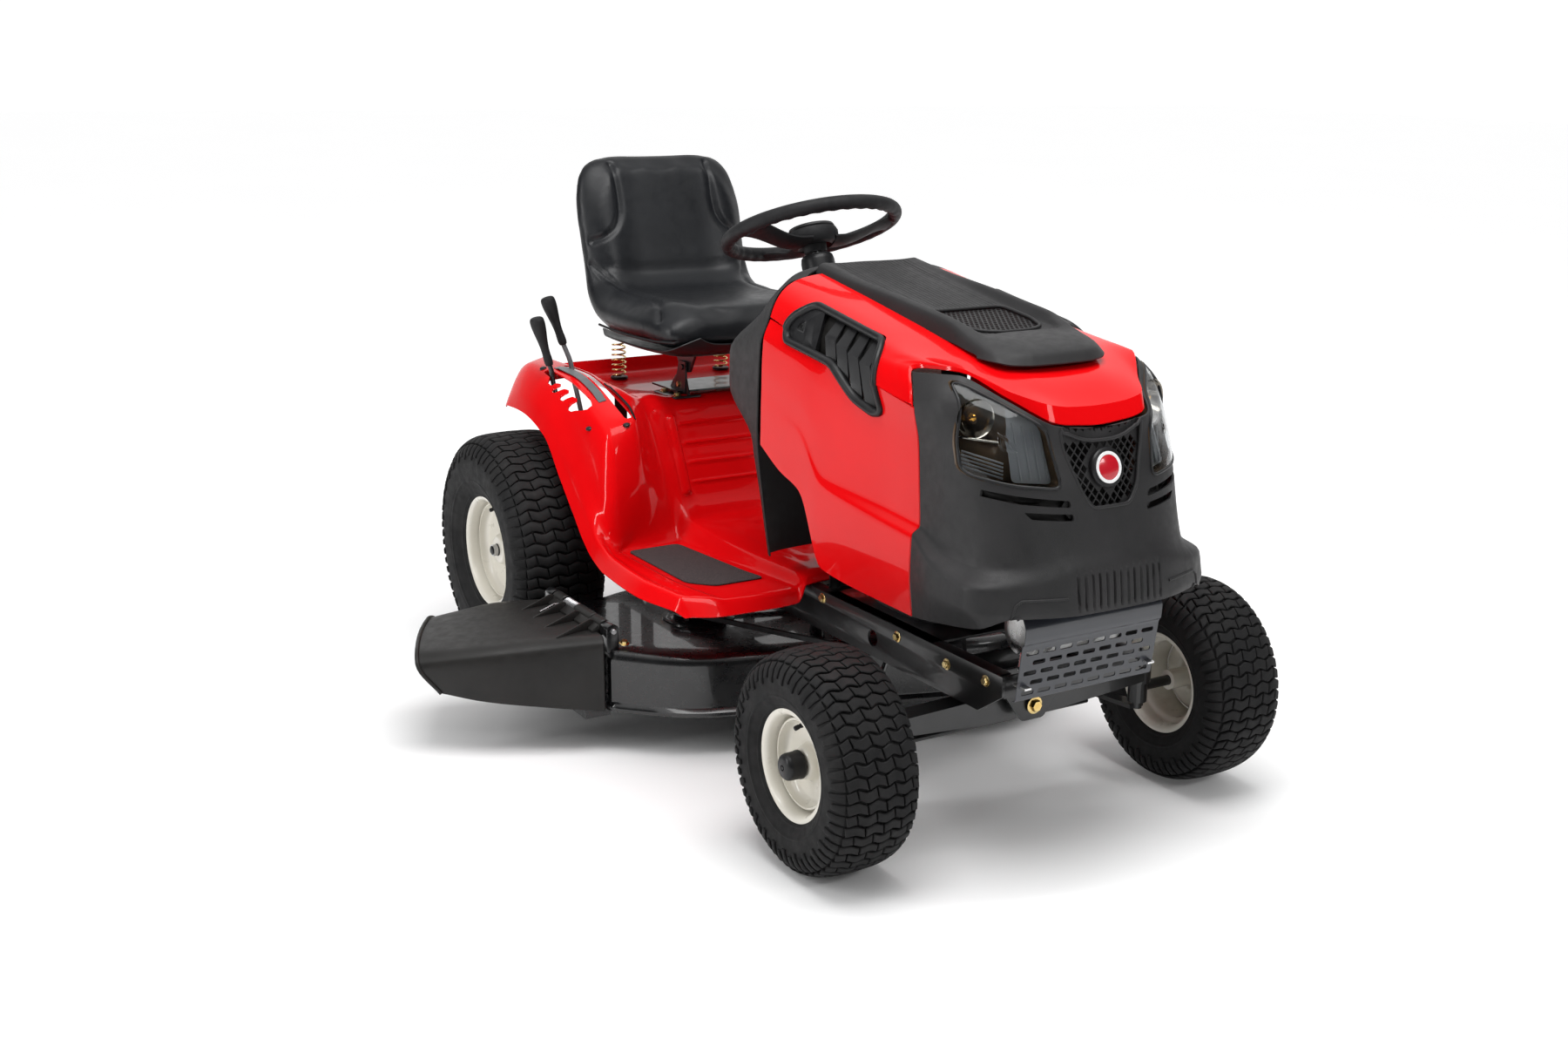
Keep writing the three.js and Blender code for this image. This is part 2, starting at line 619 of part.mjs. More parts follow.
function steeringWheel() {
  const rim = new THREE.TorusGeometry(WHEEL.radius, WHEEL.tube, 7, 28);
  const spokes = [90, 192, 348].map((angle) => {
    const spoke = prism([[0, -15], [WHEEL.radius - 6, -11], [WHEEL.radius - 6, 11], [0, 15]], 'z', -4, 4);
    spoke.translate(0, 0, -14);
    return spoke.rotateZ((angle * Math.PI) / 180);
  });
  const hub = turned([
    [0, -48], [22, -48], [24, -26], [44, -20], [46, -2], [40, 6], [0, 8],
  ]);
  const wheel = join(rim, hub, ...spokes);
  wheel.rotateX(-WHEEL.tilt);
  return wheel.translate(0, WHEEL.y, WHEEL.z);
}

const steeringShaft = () => rod(columnPoint(48 + GAP), columnPoint(680), 9.5, 9.5, 16);

// Straight-sided teeth on a pitch circle about the origin, between two angles.
function toothedArc(pitchRadius, teeth, first, last) {
  const step = (2 * Math.PI) / teeth;
  const outline = [];
  for (let i = first; i <= last; i += 1) {
    const middle = i * step;
    const tooth = [
      [-0.27, -1.1], [-0.17, 0.75], [0.17, 0.75], [0.27, -1.1],
    ];
    tooth.forEach(([turn, rise]) => {
      const angle = middle + turn * step;
      const radius = pitchRadius + rise * MODULE_MM;
      outline.push([radius * Math.cos(angle), radius * Math.sin(angle)]);
    });
  }
  return outline;
}

function steeringPinion() {
  const outline = toothedArc(PINION.pitch, PINION.teeth, 0, PINION.teeth - 1);
  const gear = prism(outline, 'z', PINION.low, PINION.high);
  gear.rotateZ(Math.PI / 2 + Math.PI / PINION.teeth);
  gear.translate(0, PINION.y, 0);
  const stem = rod([0, PINION.y, PINION.high - 2], [0, PINION.y, 336], 8, 8, 12);
  return join(gear, stem);
}

function sectorGear() {
  const arc = toothedArc(SECTOR.pitch, SECTOR.teeth, -8, 8);
  const plate = prism([[-24, -14], ...arc, [-24, 14]], 'z', SECTOR.z, SECTOR.z + SECTOR.thick);
  plate.rotateZ(Math.PI / 2);
  const arm = prism([[-14, 0], [ARM.x - 8, ARM.y + 6], [ARM.x + 9, ARM.y], [14, -8]],
    'z', SECTOR.z - 6, SECTOR.z + 1);
  const stud = rod([ARM.x, ARM.y, 252], [ARM.x, ARM.y, SECTOR.z + 1], 7, 7, 12);
  const bore = rod([0, 0, 240], [0, 0, 290], 8.5);
  return cut(join(plate, arm, stud), bore).translate(0, SECTOR.y, 0);
}

function dragLink() {
  const start = [ARM.x, SECTOR.y + ARM.y, 246];
  const end = [-KINGPIN.x + ARM.x, -WHEELBASE + ARM.y, 246];
  const along = new THREE.Vector3(end[0] - start[0], end[1] - start[1], 0).normalize();
  const stop = [end[0] - along.x * 12, end[1] - along.y * 12, 246];
  const eye = rod([start[0], start[1], 240], [start[0], start[1], 252 - GAP], 11, 11, 14);
  return join(rod(start, stop, 5, 5, 10), eye);
}

function tieRod() {
  const y = -WHEELBASE + TIE.y;
  const reach = KINGPIN.x - TIE.x;
  const z = TIE.z;
  const eye = rod([-reach, y, z - 6], [-reach, y, z + 10 - GAP], 11, 11, 14);
  return join(rod([-reach, y, z], [reach - 14, y, z], 6, 6, 10), eye);
}

// Front axle and wheels

function frontAxle() {
  const high = KINGPIN.bossHigh;
  const low = KINGPIN.bossLow;
  const beam = prism([
    [-KINGPIN.x, low + 6], [-90, low - 8], [90, low - 8], [KINGPIN.x, low + 6],
    [KINGPIN.x, high - 8], [90, high - 2], [-90, high - 2], [-KINGPIN.x, high - 8],
  ].map(([x, z]) => [z, x]), 'y', -WHEELBASE - 22, -WHEELBASE + 22);
  const bosses = [-1, 1].map((s) => (
    rod([s * KINGPIN.x, -WHEELBASE, low], [s * KINGPIN.x, -WHEELBASE, high], KINGPIN.boss + 6)
  ));
  const bores = [-1, 1].map((s) => (
    rod([s * KINGPIN.x, -WHEELBASE, 180], [s * KINGPIN.x, -WHEELBASE, 280], KINGPIN.radius + 0.6)
  ));
  const pivot = rod([0, -WHEELBASE - 40, AXLE_PIVOT_Z], [0, -WHEELBASE + 40, AXLE_PIVOT_Z], 22);
  const pivotBore = rod([0, -1300, AXLE_PIVOT_Z], [0, -1180, AXLE_PIVOT_Z], 11.6);
  return cut(join(beam, pivot, ...bosses), ...bores, pivotBore);
}

function spindle(side) {
  const { x, low, high, radius } = KINGPIN;
  const y = -WHEELBASE;
  const pin = rod([-x, y, low], [-x, y, high], radius);
  const block = rod([-x, y, low + 14], [-x, y, KINGPIN.bossLow - 1], 18);
  const stub = rod([-x, y, FRONT.radius], [-466, y, FRONT.radius], FRONT.shaft);
  const tieArm = prism([[-x - 16, y], [-x + 16, y], [-x + TIE.x + 11, y + TIE.y + 10],
    [-x + TIE.x - 11, y + TIE.y + 10]], 'z', low, low + ARM.thick);
  const parts = [pin, block, stub, tieArm];
  if (side < 0) {
    parts.push(prism([[-x - 14, y - 12], [-x + 14, y - 12], [-x + ARM.x + 8, y + ARM.y - 4],
      [-x + ARM.x - 12, y + ARM.y + 6]], 'z', high - 8, high));
  }
  const whole = join(...parts);
  return side < 0 ? whole : mirrored(whole);
}

// A hollow tyre turned about X. The section is a C open towards the rim.
function tyre(size) {
  const { radius: r, width, rim } = size;
  const w = width / 2;
  const bead = w * 0.62;
  const wall = 7;
  const outer = [
    [rim + BEAD_GAP, -bead], [rim + 0.45 * (r - rim), -w], [r - 16, -w * 0.94], [r, -w * 0.62],
    [r, w * 0.62], [r - 16, w * 0.94], [rim + 0.45 * (r - rim), w], [rim + BEAD_GAP, bead],
  ];
  const inner = [
    [rim + BEAD_GAP, bead - 9], [r - 26, w - wall - 8], [r - 26, -w + wall + 8], [rim + BEAD_GAP, -bead + 9],
  ];
  return turned([...outer, ...inner], TYRE_SIDES);
}

// A dished steel rim turned about Z, its outer face towards -Z.
function rim(size, shaftRadius) {
  const w = size.width / 2;
  const bead = w * 0.62;
  const r = size.rim;
  const flange = bead + 5;
  const hub = shaftRadius + 0.6;
  return turned([
    [r + 6, -flange], [r, -bead - GAP], [r, bead + GAP], [r + 6, flange], [r - 6, flange - 2],
    [r - 10, -8], [hub + 16, -18], [hub + 12, w * 0.5], [hub, w * 0.5], [hub, -w * 0.62],
    [hub + 12, -w * 0.62], [hub + 14, -24], [r - 14, -16], [r - 6, -flange + 6],
  ], RIM_SIDES);
}

const onWheel = (geometry, x, y, z) => {
  geometry.rotateY(Math.PI / 2);
  geometry.rotateX(Math.PI / 2);
  return geometry.translate(x, y, z);
};

function wheelPart(make, size, side, y) {
  const geometry = onWheel(make(), -size.x, y, size.radius);
  return side < 0 ? geometry : mirrored(geometry);
}

function hubCap(side) {
  const cap = turned([
    [0, -78], [19, -78], [23, -74], [24, -50], [12, -50], [12, -69], [0, -69],
  ], 20);
  return wheelPart(() => cap, FRONT, side, -WHEELBASE);
}

function axleShaft(side) {
  const z = REAR.radius;
  const shaft = rod([-244, 0, z], [-474, 0, z], REAR.shaft);
  return side < 0 ? shaft : mirrored(shaft);
}

// Mowing deck

function deckVolume(inset, low, high) {
  const r = DECK.radius - inset;
  const round = (c) => rod([c.x, c.y, low], [c.x, c.y, high], r, r, 24);
  const bridge = prism([
    [-235 + inset * 0.3, -755 + inset], [235, -915 + inset], [235, -405 - inset], [-235, -245 - inset],
  ], 'z', low, high);
  const outlet = prism([
    [-200, -615 + inset], [-488 + inset, -615 + inset], [-488 + inset, -300 - inset],
    [-200, -270 - inset],
  ], 'z', low, high);
  return join(round(SPINDLE_R), round(SPINDLE_L), bridge, outlet);
}

function deckShell() {
  const outer = join(
    deckVolume(0, DECK.low + 12, DECK.top - 12),
    deckVolume(10, DECK.low + 12, DECK.top),
    deckVolume(-7, DECK.low, DECK.low + 14),
  );
  const inner = deckVolume(DECK.wall, DECK.low - 10, DECK.top - 16);
  const mouth = box([-520, -595, DECK.low - 5], [-470, -320, DECK.top - 16]);
  const bosses = [SPINDLE_R, SPINDLE_L].map(({ x, y }) => (
    turned([[0, DECK.top - 16], [60, DECK.top - 16], [58, DECK.top + 4], [30, DECK.top + 10],
      [0, DECK.top + 10]], ROUND).translate(x, y, 0)
  ));
  const bores = [SPINDLE_R, SPINDLE_L].map(({ x, y }) => rod([x, y, 150], [x, y, 230], 13));
  const knuckles = [-590, -330].map((y) => {
    const leaf = box([HINGE.x - 12, y - 16, DECK.top - 8], [HINGE.x + 12, y + 16, HINGE.z]);
    return join(leaf, rod([HINGE.x, y - 16, HINGE.z], [HINGE.x, y + 16, HINGE.z], 12));
  });
  const hangers = [[150, -430], [-150, -340], [90, -760], [-90, -720]].map(([x, y]) => (
    box([x - 3, y - 24, DECK.top - 8], [x + 3, y + 24, DECK.top + 34])
  ));
  return cut(join(cut(outer, inner, mouth), ...bosses, ...knuckles, ...hangers), ...bores);
}

// Chute lines run from the hinge outwards; each goes from the rear lower lip over the top to the front one.
const CHUTE = [
  [[-500, -300, 150], [-500, -302, 226], [-493, -330, 234], [-493, -590, 234], [-500, -612, 222],
    [-502, -618, 90]],
  [[-580, -255, 150], [-580, -258, 224], [-580, -290, 232], [-585, -530, 226], [-590, -560, 210],
    [-600, -572, 96]],
  [[-690, -208, 150], [-690, -212, 208], [-690, -240, 218], [-712, -470, 212], [-718, -496, 196],
    [-724, -508, 106]],
  [[-770, -190, 150], [-770, -194, 196], [-776, -220, 206], [-800, -420, 202], [-806, -446, 188],
    [-790, -462, 118]],
];

function dischargeChute() {
  const skin = shell(CHUTE, SKIN);
  const barrel = rod([HINGE.x, -572, HINGE.z], [HINGE.x, -348, HINGE.z], 12);
  const leaf = box([-500, -566, 228], [HINGE.x - 2, -354, HINGE.z]);
  const ribs = [-540, -460, -380].map((y) => (
    prism([[-490, 230], [-490, 248], [-560, 231], [-560, 224]].map(([x, z]) => [z, x]), 'y', y, y + 5)
  ));
  return join(skin, barrel, leaf, ...ribs);
}

function blade(centre, angle) {
  const half = BLADE.length / 2;
  const w = BLADE.width / 2;
  const outline = [
    [-half, -w], [-30, -w], [30, -w], [half - 70, -w], [half, -w + 10], [half, w], [30, w],
    [-half + 70, w], [-half, w - 10],
  ];
  const bar2 = prism(outline, 'z', BLADE.z, BLADE.z + BLADE.thick);
  const lift = [1, -1].map((s) => prism(
    [[BLADE.z, s * w], [BLADE.z + BLADE.thick, s * w], [BLADE.z + 22, s * (w + 14)],
      [BLADE.z + 17, s * (w + 14)]].map(([z, y]) => [y, z]),
    'x', s > 0 ? half - 96 : -half, s > 0 ? half : -half + 96,
  ));
  const hole = rod([0, 0, 100], [0, 0, 150], 12.5);
  const whole = cut(join(bar2, ...lift), hole);
  whole.rotateZ(angle);
  return whole.translate(centre.x, centre.y, 0);
}

function bladeSpindle(centre) {
  return turned([
    [0, 108], [18, 108], [18, BLADE.z - GAP], [12, BLADE.z - GAP], [12, BLADE.z + 5 + GAP],
    [22, BLADE.z + 5 + GAP], [22, 140], [12, 142], [12, PULLEY.low], [PULLEY.radius, PULLEY.low],
    [PULLEY.radius, PULLEY.low + 2.6], [PULLEY.radius - 10, BELT.low - 1],
    [PULLEY.radius - 10, BELT.high + 1], [PULLEY.radius, PULLEY.high - 2.6],
    [PULLEY.radius, PULLEY.high], [18, PULLEY.high], [18, PULLEY.high + 8], [0, PULLEY.high + 8],
  ]).translate(centre.x, centre.y, 0);
}

function crankPulley() {
  return turned([
    [0, PULLEY.low - 4], [16, PULLEY.low - 4], [16, PULLEY.low], [PULLEY.crank, PULLEY.low],
    [PULLEY.crank, PULLEY.low + 2.6], [PULLEY.crank - 10, BELT.low - 1],
    [PULLEY.crank - 10, BELT.high + 1], [PULLEY.crank, PULLEY.high - 2.6],
    [PULLEY.crank, PULLEY.high], [12.5, PULLEY.high], [12.5, RAIL.high], [0, RAIL.high],
  ]).translate(CRANK.x, CRANK.y, 0);
}

// The outer tangent path round three pulleys, each a [centre, radius], taken anticlockwise.
function beltPath(stops) {
  const path = [];
  stops.forEach(([here, radius], i) => {
    const [before, beforeRadius] = stops[(i + stops.length - 1) % stops.length];
    const [after, afterRadius] = stops[(i + 1) % stops.length];
    const normalTo = (from, to, fromRadius, toRadius) => {
      const angle = Math.atan2(to.y - from.y, to.x - from.x);
      return angle - Math.acos((fromRadius - toRadius) / Math.hypot(to.x - from.x, to.y - from.y));
    };
    const start = normalTo(before, here, beforeRadius, radius);
    let end = normalTo(here, after, radius, afterRadius);
    while (end < start) end += 2 * Math.PI;
    const steps = Math.max(2, Math.ceil((end - start) / 0.35));
    for (let k = 0; k <= steps; k += 1) {
      const angle = start + ((end - start) * k) / steps;
      path.push([here.x + radius * Math.cos(angle), here.y + radius * Math.sin(angle)]);
    }
  });
  return path;
}

function driveBelt() {
  const grow = (extra) => beltPath([
    [CRANK, PULLEY.crank - 10 + extra], [SPINDLE_L, PULLEY.radius - 10 + extra],
    [SPINDLE_R, PULLEY.radius - 10 + extra],
  ]);
  return cut(
    prism(grow(10), 'z', BELT.low, BELT.high),
    prism(grow(2.6), 'z', BELT.low - 5, BELT.high + 5),
  );
}

// Controls and seat

const LEVER_PIVOT = { y: -200, z: 345 };

// A cranked stem from its pivot up through the fender at the base point, with a tapered grip at the knob.
function lever(pivotX, x, base, knob) {
  const rise = [0, knob[0] - base[0], knob[1] - base[1]];
  const length = Math.hypot(rise[1], rise[2]);
  const onGrip = (back) => [x, knob[0] - (rise[1] * back) / length, knob[1] - (rise[2] * back) / length];
  const { y, z } = LEVER_PIVOT;
  const along = (t, sx) => [sx, y + (base[0] - y) * t, z + (base[1] - z) * t];
  const stem = bar([
    along(0, pivotX), along(0.4, pivotX), along(0.54, pivotX), along(0.74, x), along(0.86, x),
    along(1.04, x), onGrip(96),
  ], 5, 14, 6);
  const hub = rod([pivotX - 9, y, z], [pivotX + 9, y, z], 15, 15, 12);
  const grip = [
    rod(onGrip(104), onGrip(66), 9, 11, 10),
    rod(onGrip(67), onGrip(14), 11, 17, 10),
    rod(onGrip(15), onGrip(0), 17, 10, 10),
  ];
  return join(stem, hub, ...grip);
}

const liftLever = () => lever(-290, -378, [-106, 640], [-52, 762]);

const speedLever = () => lever(-262, -343, [-84, 652], [-30, 800]);

function brakePedal() {
  const axle = rod([158, -728, 300], [252, -728, 300], 7, 7, 12);
  const arm = prism([[-734, 296], [-720, 296], [-738, 432], [-752, 432]], 'x', 241, 251);
  const pad = prism([[-762, 420], [-706, 446], [-709, 454], [-765, 428]], 'x', 206, 286);
  return join(axle, arm, pad);
}

// A point on the dash's sloping control face, so far across, along the slope and out of it.
const FACE = { y: -622, z: 811, out: [0.775, 0.632] };
const onFace = (x, slope, out) => [
  x,
  FACE.y - slope * FACE.out[1] + out * FACE.out[0],
  FACE.z + slope * FACE.out[0] + out * FACE.out[1],
];

function throttleLever() {
  const pivot = onFace(-112, 0, -26);
  const tip = onFace(-112, 0, 30);
  const stem = rod(pivot, tip, 3, 3, 8);
  const knob = rod(onFace(-112, 0, 24), onFace(-112, 0, 44), 9, 11, 10);
  const hub = rod([-118, pivot[1], pivot[2]], [-106, pivot[1], pivot[2]], 8, 8, 12);
  return join(stem, knob, hub);
}

function ignitionKey() {
  const barrel = rod(onFace(112, 0, -20), onFace(112, 0, 12), 8, 8, 12);
  const bow = rod(onFace(100, 0, 22), onFace(124, 0, 22), 5, 5, 8);
  const neck = rod(onFace(112, 0, 10), onFace(112, 0, 22), 3, 3, 8);
  return join(barrel, bow, neck);
}

// Seat sections from the front edge back to the top of the backrest: centre, half width, half depth.
const SEAT = [
  { y: -316, z: 748, w: 150, h: 20, lean: -0.2 },
  { y: -300, z: 749, w: 196, h: 40, lean: -0.15 },
  { y: -230, z: 752, w: 218, h: 51, lean: 0 },
  { y: -120, z: 750, w: 224, h: 49, lean: 0.05 },
  { y: -10, z: 754, w: 224, h: 50, lean: 0.2 },
  { y: 62, z: 790, w: 216, h: 50, lean: 0.8 },
  { y: 90, z: 860, w: 212, h: 44, lean: 1.2 },
  { y: 112, z: 950, w: 214, h: 40, lean: 1.32 },
  { y: 134, z: 1030, w: 200, h: 36, lean: 1.36 },
  { y: 146, z: 1070, w: 168, h: 26, lean: 1.36 },
  { y: 150, z: 1084, w: 110, h: 12, lean: 1.36 },
];

function seatCushion() {
  const rings = SEAT.map(({ y, z, w, h, lean }) => (
    ellipse([0, 0], w, h, 20, 3).map(([x, up]) => [x, y - up * Math.sin(lean), z + up * Math.cos(lean)])
  ));
  return loft(rings);
}

function seatPan() {
  const floor = prism([[-292, 700], [24, 700], [24, 686], [-280, 686]], 'x', -196, 196);
  const leg = prism([[-204, 645], [-170, 645], [-140, 690], [-230, 690]], 'x', 92, 98);
  const pin = rod([94, SEAT_PIVOT.y, SEAT_PIVOT.z], [108, SEAT_PIVOT.y, SEAT_PIVOT.z], 6);
  const side = join(leg, pin);
  return join(floor, side, mirrored(side));
}

// Assembly

const NODES = [
  ['chassis_frame', chassisFrame, 'frameSteel'],
  ['transaxle', transaxle, 'castMetal'],
  ['engine_block', engineBlock, 'castMetal'],
  ['engine_shroud', engineShroud, 'blackPlastic'],
  ['muffler', muffler, 'steel'],
  ['muffler_guard', mufflerGuard, 'guard'],
  ['fuel_tank', fuelTank, 'tank'],
  ['fender_body', fenderBody, 'redPaint'],
  ['foot_mat_right', () => footMat(-1), 'grip'],
  ['foot_mat_left', () => footMat(1), 'grip'],
  ['dash_panel', dashPanel, 'blackPlastic'],
  ['steering_column', steeringColumn, 'blackPlastic'],
  ['seat_bracket', seatBracket, 'frameSteel'],
  ['seat_spring_right', () => seatSpring(-1), 'zincSteel'],
  ['seat_spring_left', () => seatSpring(1), 'zincSteel'],
  ['hood_top', hoodTop, 'redPaint'],
  ['hood_side_right', () => hoodSide(-1), 'redPaint'],
  ['hood_side_left', () => hoodSide(1), 'redPaint'],
  ['hood_cap', hoodCap, 'blackPlastic'],
  ['front_bezel', frontBezel, 'blackPlastic'],
  ['headlamp_lens_right', () => headlampLens(-1), 'lens'],
  ['headlamp_lens_left', () => headlampLens(1), 'lens'],
  ['side_vent_right', () => sideVent(-1), 'blackPlastic'],
  ['side_vent_left', () => sideVent(1), 'blackPlastic'],
  ['steering_wheel', steeringWheel, 'blackPlastic'],
  ['steering_shaft', steeringShaft, 'steel'],
  ['steering_pinion', steeringPinion, 'steel'],
  ['sector_gear', sectorGear, 'steel'],
  ['drag_link', dragLink, 'zincSteel'],
  ['tie_rod', tieRod, 'zincSteel'],
  ['front_axle', frontAxle, 'frameSteel'],
  ['spindle_right', () => spindle(-1), 'frameSteel'],
  ['spindle_left', () => spindle(1), 'frameSteel'],
  ['front_tyre_right', () => wheelPart(() => tyre(FRONT), FRONT, -1, -WHEELBASE), 'rubber'],
  ['front_tyre_left', () => wheelPart(() => tyre(FRONT), FRONT, 1, -WHEELBASE), 'rubber'],
  ['front_rim_right', () => wheelPart(() => rim(FRONT, FRONT.shaft), FRONT, -1, -WHEELBASE), 'rimPaint'],
  ['front_rim_left', () => wheelPart(() => rim(FRONT, FRONT.shaft), FRONT, 1, -WHEELBASE), 'rimPaint'],
  ['hub_cap_right', () => hubCap(-1), 'blackPlastic'],
  ['hub_cap_left', () => hubCap(1), 'blackPlastic'],
  ['rear_tyre_right', () => wheelPart(() => tyre(REAR), REAR, -1, 0), 'rubber'],
  ['rear_tyre_left', () => wheelPart(() => tyre(REAR), REAR, 1, 0), 'rubber'],
  ['rear_rim_right', () => wheelPart(() => rim(REAR, REAR.shaft), REAR, -1, 0), 'rimPaint'],
  ['rear_rim_left', () => wheelPart(() => rim(REAR, REAR.shaft), REAR, 1, 0), 'rimPaint'],
  ['axle_shaft_right', () => axleShaft(-1), 'steel'],
  ['axle_shaft_left', () => axleShaft(1), 'steel'],
  ['deck_shell', deckShell, 'blackPaint'],
  ['discharge_chute', dischargeChute, 'blackPlastic'],
  ['blade_right', () => blade(SPINDLE_R, 0.5), 'steel'],
  ['blade_left', () => blade(SPINDLE_L, 0.5), 'steel'],
  ['blade_spindle_right', () => bladeSpindle(SPINDLE_R), 'castMetal'],
  ['blade_spindle_left', () => bladeSpindle(SPINDLE_L), 'castMetal'],
  ['drive_belt', driveBelt, 'rubber'],
  ['crank_pulley', crankPulley, 'castMetal'],
  ['lift_lever', liftLever, 'blackPlastic'],
  ['speed_lever', speedLever, 'blackPlastic'],
  ['brake_pedal', brakePedal, 'frameSteel'],
  ['throttle_lever', throttleLever, 'blackPlastic'],
  ['ignition_key', ignitionKey, 'blackPlastic'],
  ['seat_cushion', seatCushion, 'vinyl'],
  ['seat_pan', seatPan, 'blackPlastic'],
];

function assemble() {
  const group = new THREE.Group();
  group.name = 'riding_lawn_mower';
  for (const [name, make, material] of NODES) {
    const mesh = new THREE.Mesh(make(), MATERIALS[material]);
    mesh.name = name;
    group.add(mesh);
  }
  const bounds = new THREE.Box3().setFromObject(group);
  const centre = bounds.getCenter(new THREE.Vector3());
  for (const mesh of group.children) mesh.geometry.translate(-centre.x, -centre.y, -bounds.min.z);
  return group;
}

export default assemble();
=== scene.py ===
"""Looks for the riding lawn mower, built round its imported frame.

Shapes are laid out in millimetres from the point on the ground under the rear axle, with +X the operator's
left, -Y forward and +Z up, and are moved into the frame when each piece is made.
"""

import json
from math import cos, hypot, pi, radians, sin, tau

import bmesh
import bpy
import numpy as np
from mathutils import Matrix, Vector
from mathutils.bvhtree import BVHTree


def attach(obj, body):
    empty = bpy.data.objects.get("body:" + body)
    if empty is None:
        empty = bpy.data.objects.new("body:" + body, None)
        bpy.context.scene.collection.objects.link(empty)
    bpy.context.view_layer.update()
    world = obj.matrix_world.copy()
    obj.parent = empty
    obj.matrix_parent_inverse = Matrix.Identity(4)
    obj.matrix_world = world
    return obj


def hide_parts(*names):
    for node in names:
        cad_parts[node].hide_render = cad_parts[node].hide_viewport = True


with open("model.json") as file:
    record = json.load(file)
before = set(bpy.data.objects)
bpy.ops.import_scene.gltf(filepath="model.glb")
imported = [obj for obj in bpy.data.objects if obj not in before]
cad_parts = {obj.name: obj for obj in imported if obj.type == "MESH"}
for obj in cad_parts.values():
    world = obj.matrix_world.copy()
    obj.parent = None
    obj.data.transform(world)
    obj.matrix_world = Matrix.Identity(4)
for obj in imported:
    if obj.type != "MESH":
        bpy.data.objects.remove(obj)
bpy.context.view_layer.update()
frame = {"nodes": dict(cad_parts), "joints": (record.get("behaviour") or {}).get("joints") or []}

MM = 0.001
X_AXIS, Z_AXIS, ORIGIN = (1, 0, 0), (0, 0, 1), (0, 0, 0)
WASHER = 1.6
JOINTS = {joint["name"]: joint for joint in frame["joints"]}
REAR_AXLE = [np.array(JOINTS[f"rear_spin_{side}"]["pos_m"]) for side in ("right", "left")]
DATUM = (REAR_AXLE[0] + REAR_AXLE[1]) / 2 * [1, 1, 0]
RIGHT, LEFT = -1, 1
SIDES = {"right": RIGHT, "left": LEFT}


def joint_at(name):
    """Where a joint is, in the layout's millimetres."""
    return (np.array(JOINTS[name]["pos_m"]) - DATUM) / MM


FRONT_HUB = joint_at("front_spin_left")
REAR_HUB = joint_at("rear_spin_left")


# Curves and surfaces


def spline(points, per, creases=()):
    """Points along a smooth curve, or row of curves, through those given and without overshooting them."""
    p = np.asarray(points, float)
    count = len(p)
    flat = p.reshape(count, -1)
    spans = np.linalg.norm(np.diff(p, axis=0).reshape(count - 1, -1, p.shape[-1]), axis=2).mean(1)
    spans = np.maximum(spans, 1e-6)[:, None]
    slope = np.diff(flat, axis=0) / spans
    before, after = np.vstack([slope[:1], slope]), np.vstack([slope, slope[-1:]])
    span_before, span_after = np.vstack([spans[:1], spans]), np.vstack([spans, spans[-1:]])
    near, far = 2 * span_after + span_before, span_after + 2 * span_before
    with np.errstate(divide="ignore", invalid="ignore"):
        middle = (near + far) / (near / before + far / after)
    tangent = np.where(before * after > 0, middle, 0.0)
    tangent[0], tangent[-1] = slope[0], slope[-1]
    arriving, leaving = tangent.copy(), tangent.copy()
    for c in creases:
        arriving[c], leaving[c] = before[c], after[c]
    found = []
    steps = np.broadcast_to(per, count - 1)
    for i in range(count - 1):
        for t in np.arange(steps[i]) / steps[i]:
            found.append(
                (2 * t**3 - 3 * t**2 + 1) * flat[i]
                + (t**3 - 2 * t**2 + t) * spans[i] * leaving[i]
                + (3 * t**2 - 2 * t**3) * flat[i + 1]
                + (t**3 - t**2) * spans[i] * arriving[i + 1]
            )
    found.append(flat[-1])
    return np.array(found).reshape(-1, *p.shape[1:])


def refine(grid, rows, columns, row_creases=(), column_creases=()):
    """A grid of points made finer along and across."""
    fine = spline(np.asarray(grid, float), rows, row_creases)
    return spline(fine.swapaxes(0, 1), columns, column_creases).swapaxes(0, 1)


def both_sides(half):
    """A half grid, given from the centre outwards on the left, with its mirror image."""
    half = np.asarray(half, float)
    return np.concatenate([half[:, :0:-1] * [-1, 1, 1], half], axis=1)


def normals(grid):
    n = np.cross(np.gradient(grid, axis=0), np.gradient(grid, axis=1))
    return n / np.maximum(np.linalg.norm(n, axis=2, keepdims=True), 1e-9)


def ease(value, low, high):
    """0 up to low and 1 from high, turning smoothly between them."""
    t = np.clip((np.asarray(value, float) - low) / (high - low), 0, 1)
    return t * t * (3 - 2 * t)


def band(value, low, high, soft):
    """1 between low and high and 0 outside them, turning smoothly over soft."""
    return ease(value, low - soft, low) * (1 - ease(value, high, high + soft))


# Raw meshes are pairs of points, in layout millimetres, and faces.


def merge(*raws):
    points, faces, start = [], [], 0
    for p, f in raws:
        points.append(np.asarray(p, float).reshape(-1, 3))
        faces += [[i + start for i in face] for face in f]
        start += len(points[-1])
    return np.vstack(points), faces


def mirror(raw):
    points, faces = raw
    return np.asarray(points) * [-1, 1, 1], [face[::-1] for face in faces]


def on_side(raw, side):
    """A raw mesh laid out on the left, put on that side."""
    return raw if side == LEFT else mirror(raw)


def turned_by(raw, matrix):
    return np.asarray(raw[0]) @ np.array(matrix.to_3x3()).T, raw[1]


def moved_by(raw, offset):
    return np.asarray(raw[0]) + offset, raw[1]


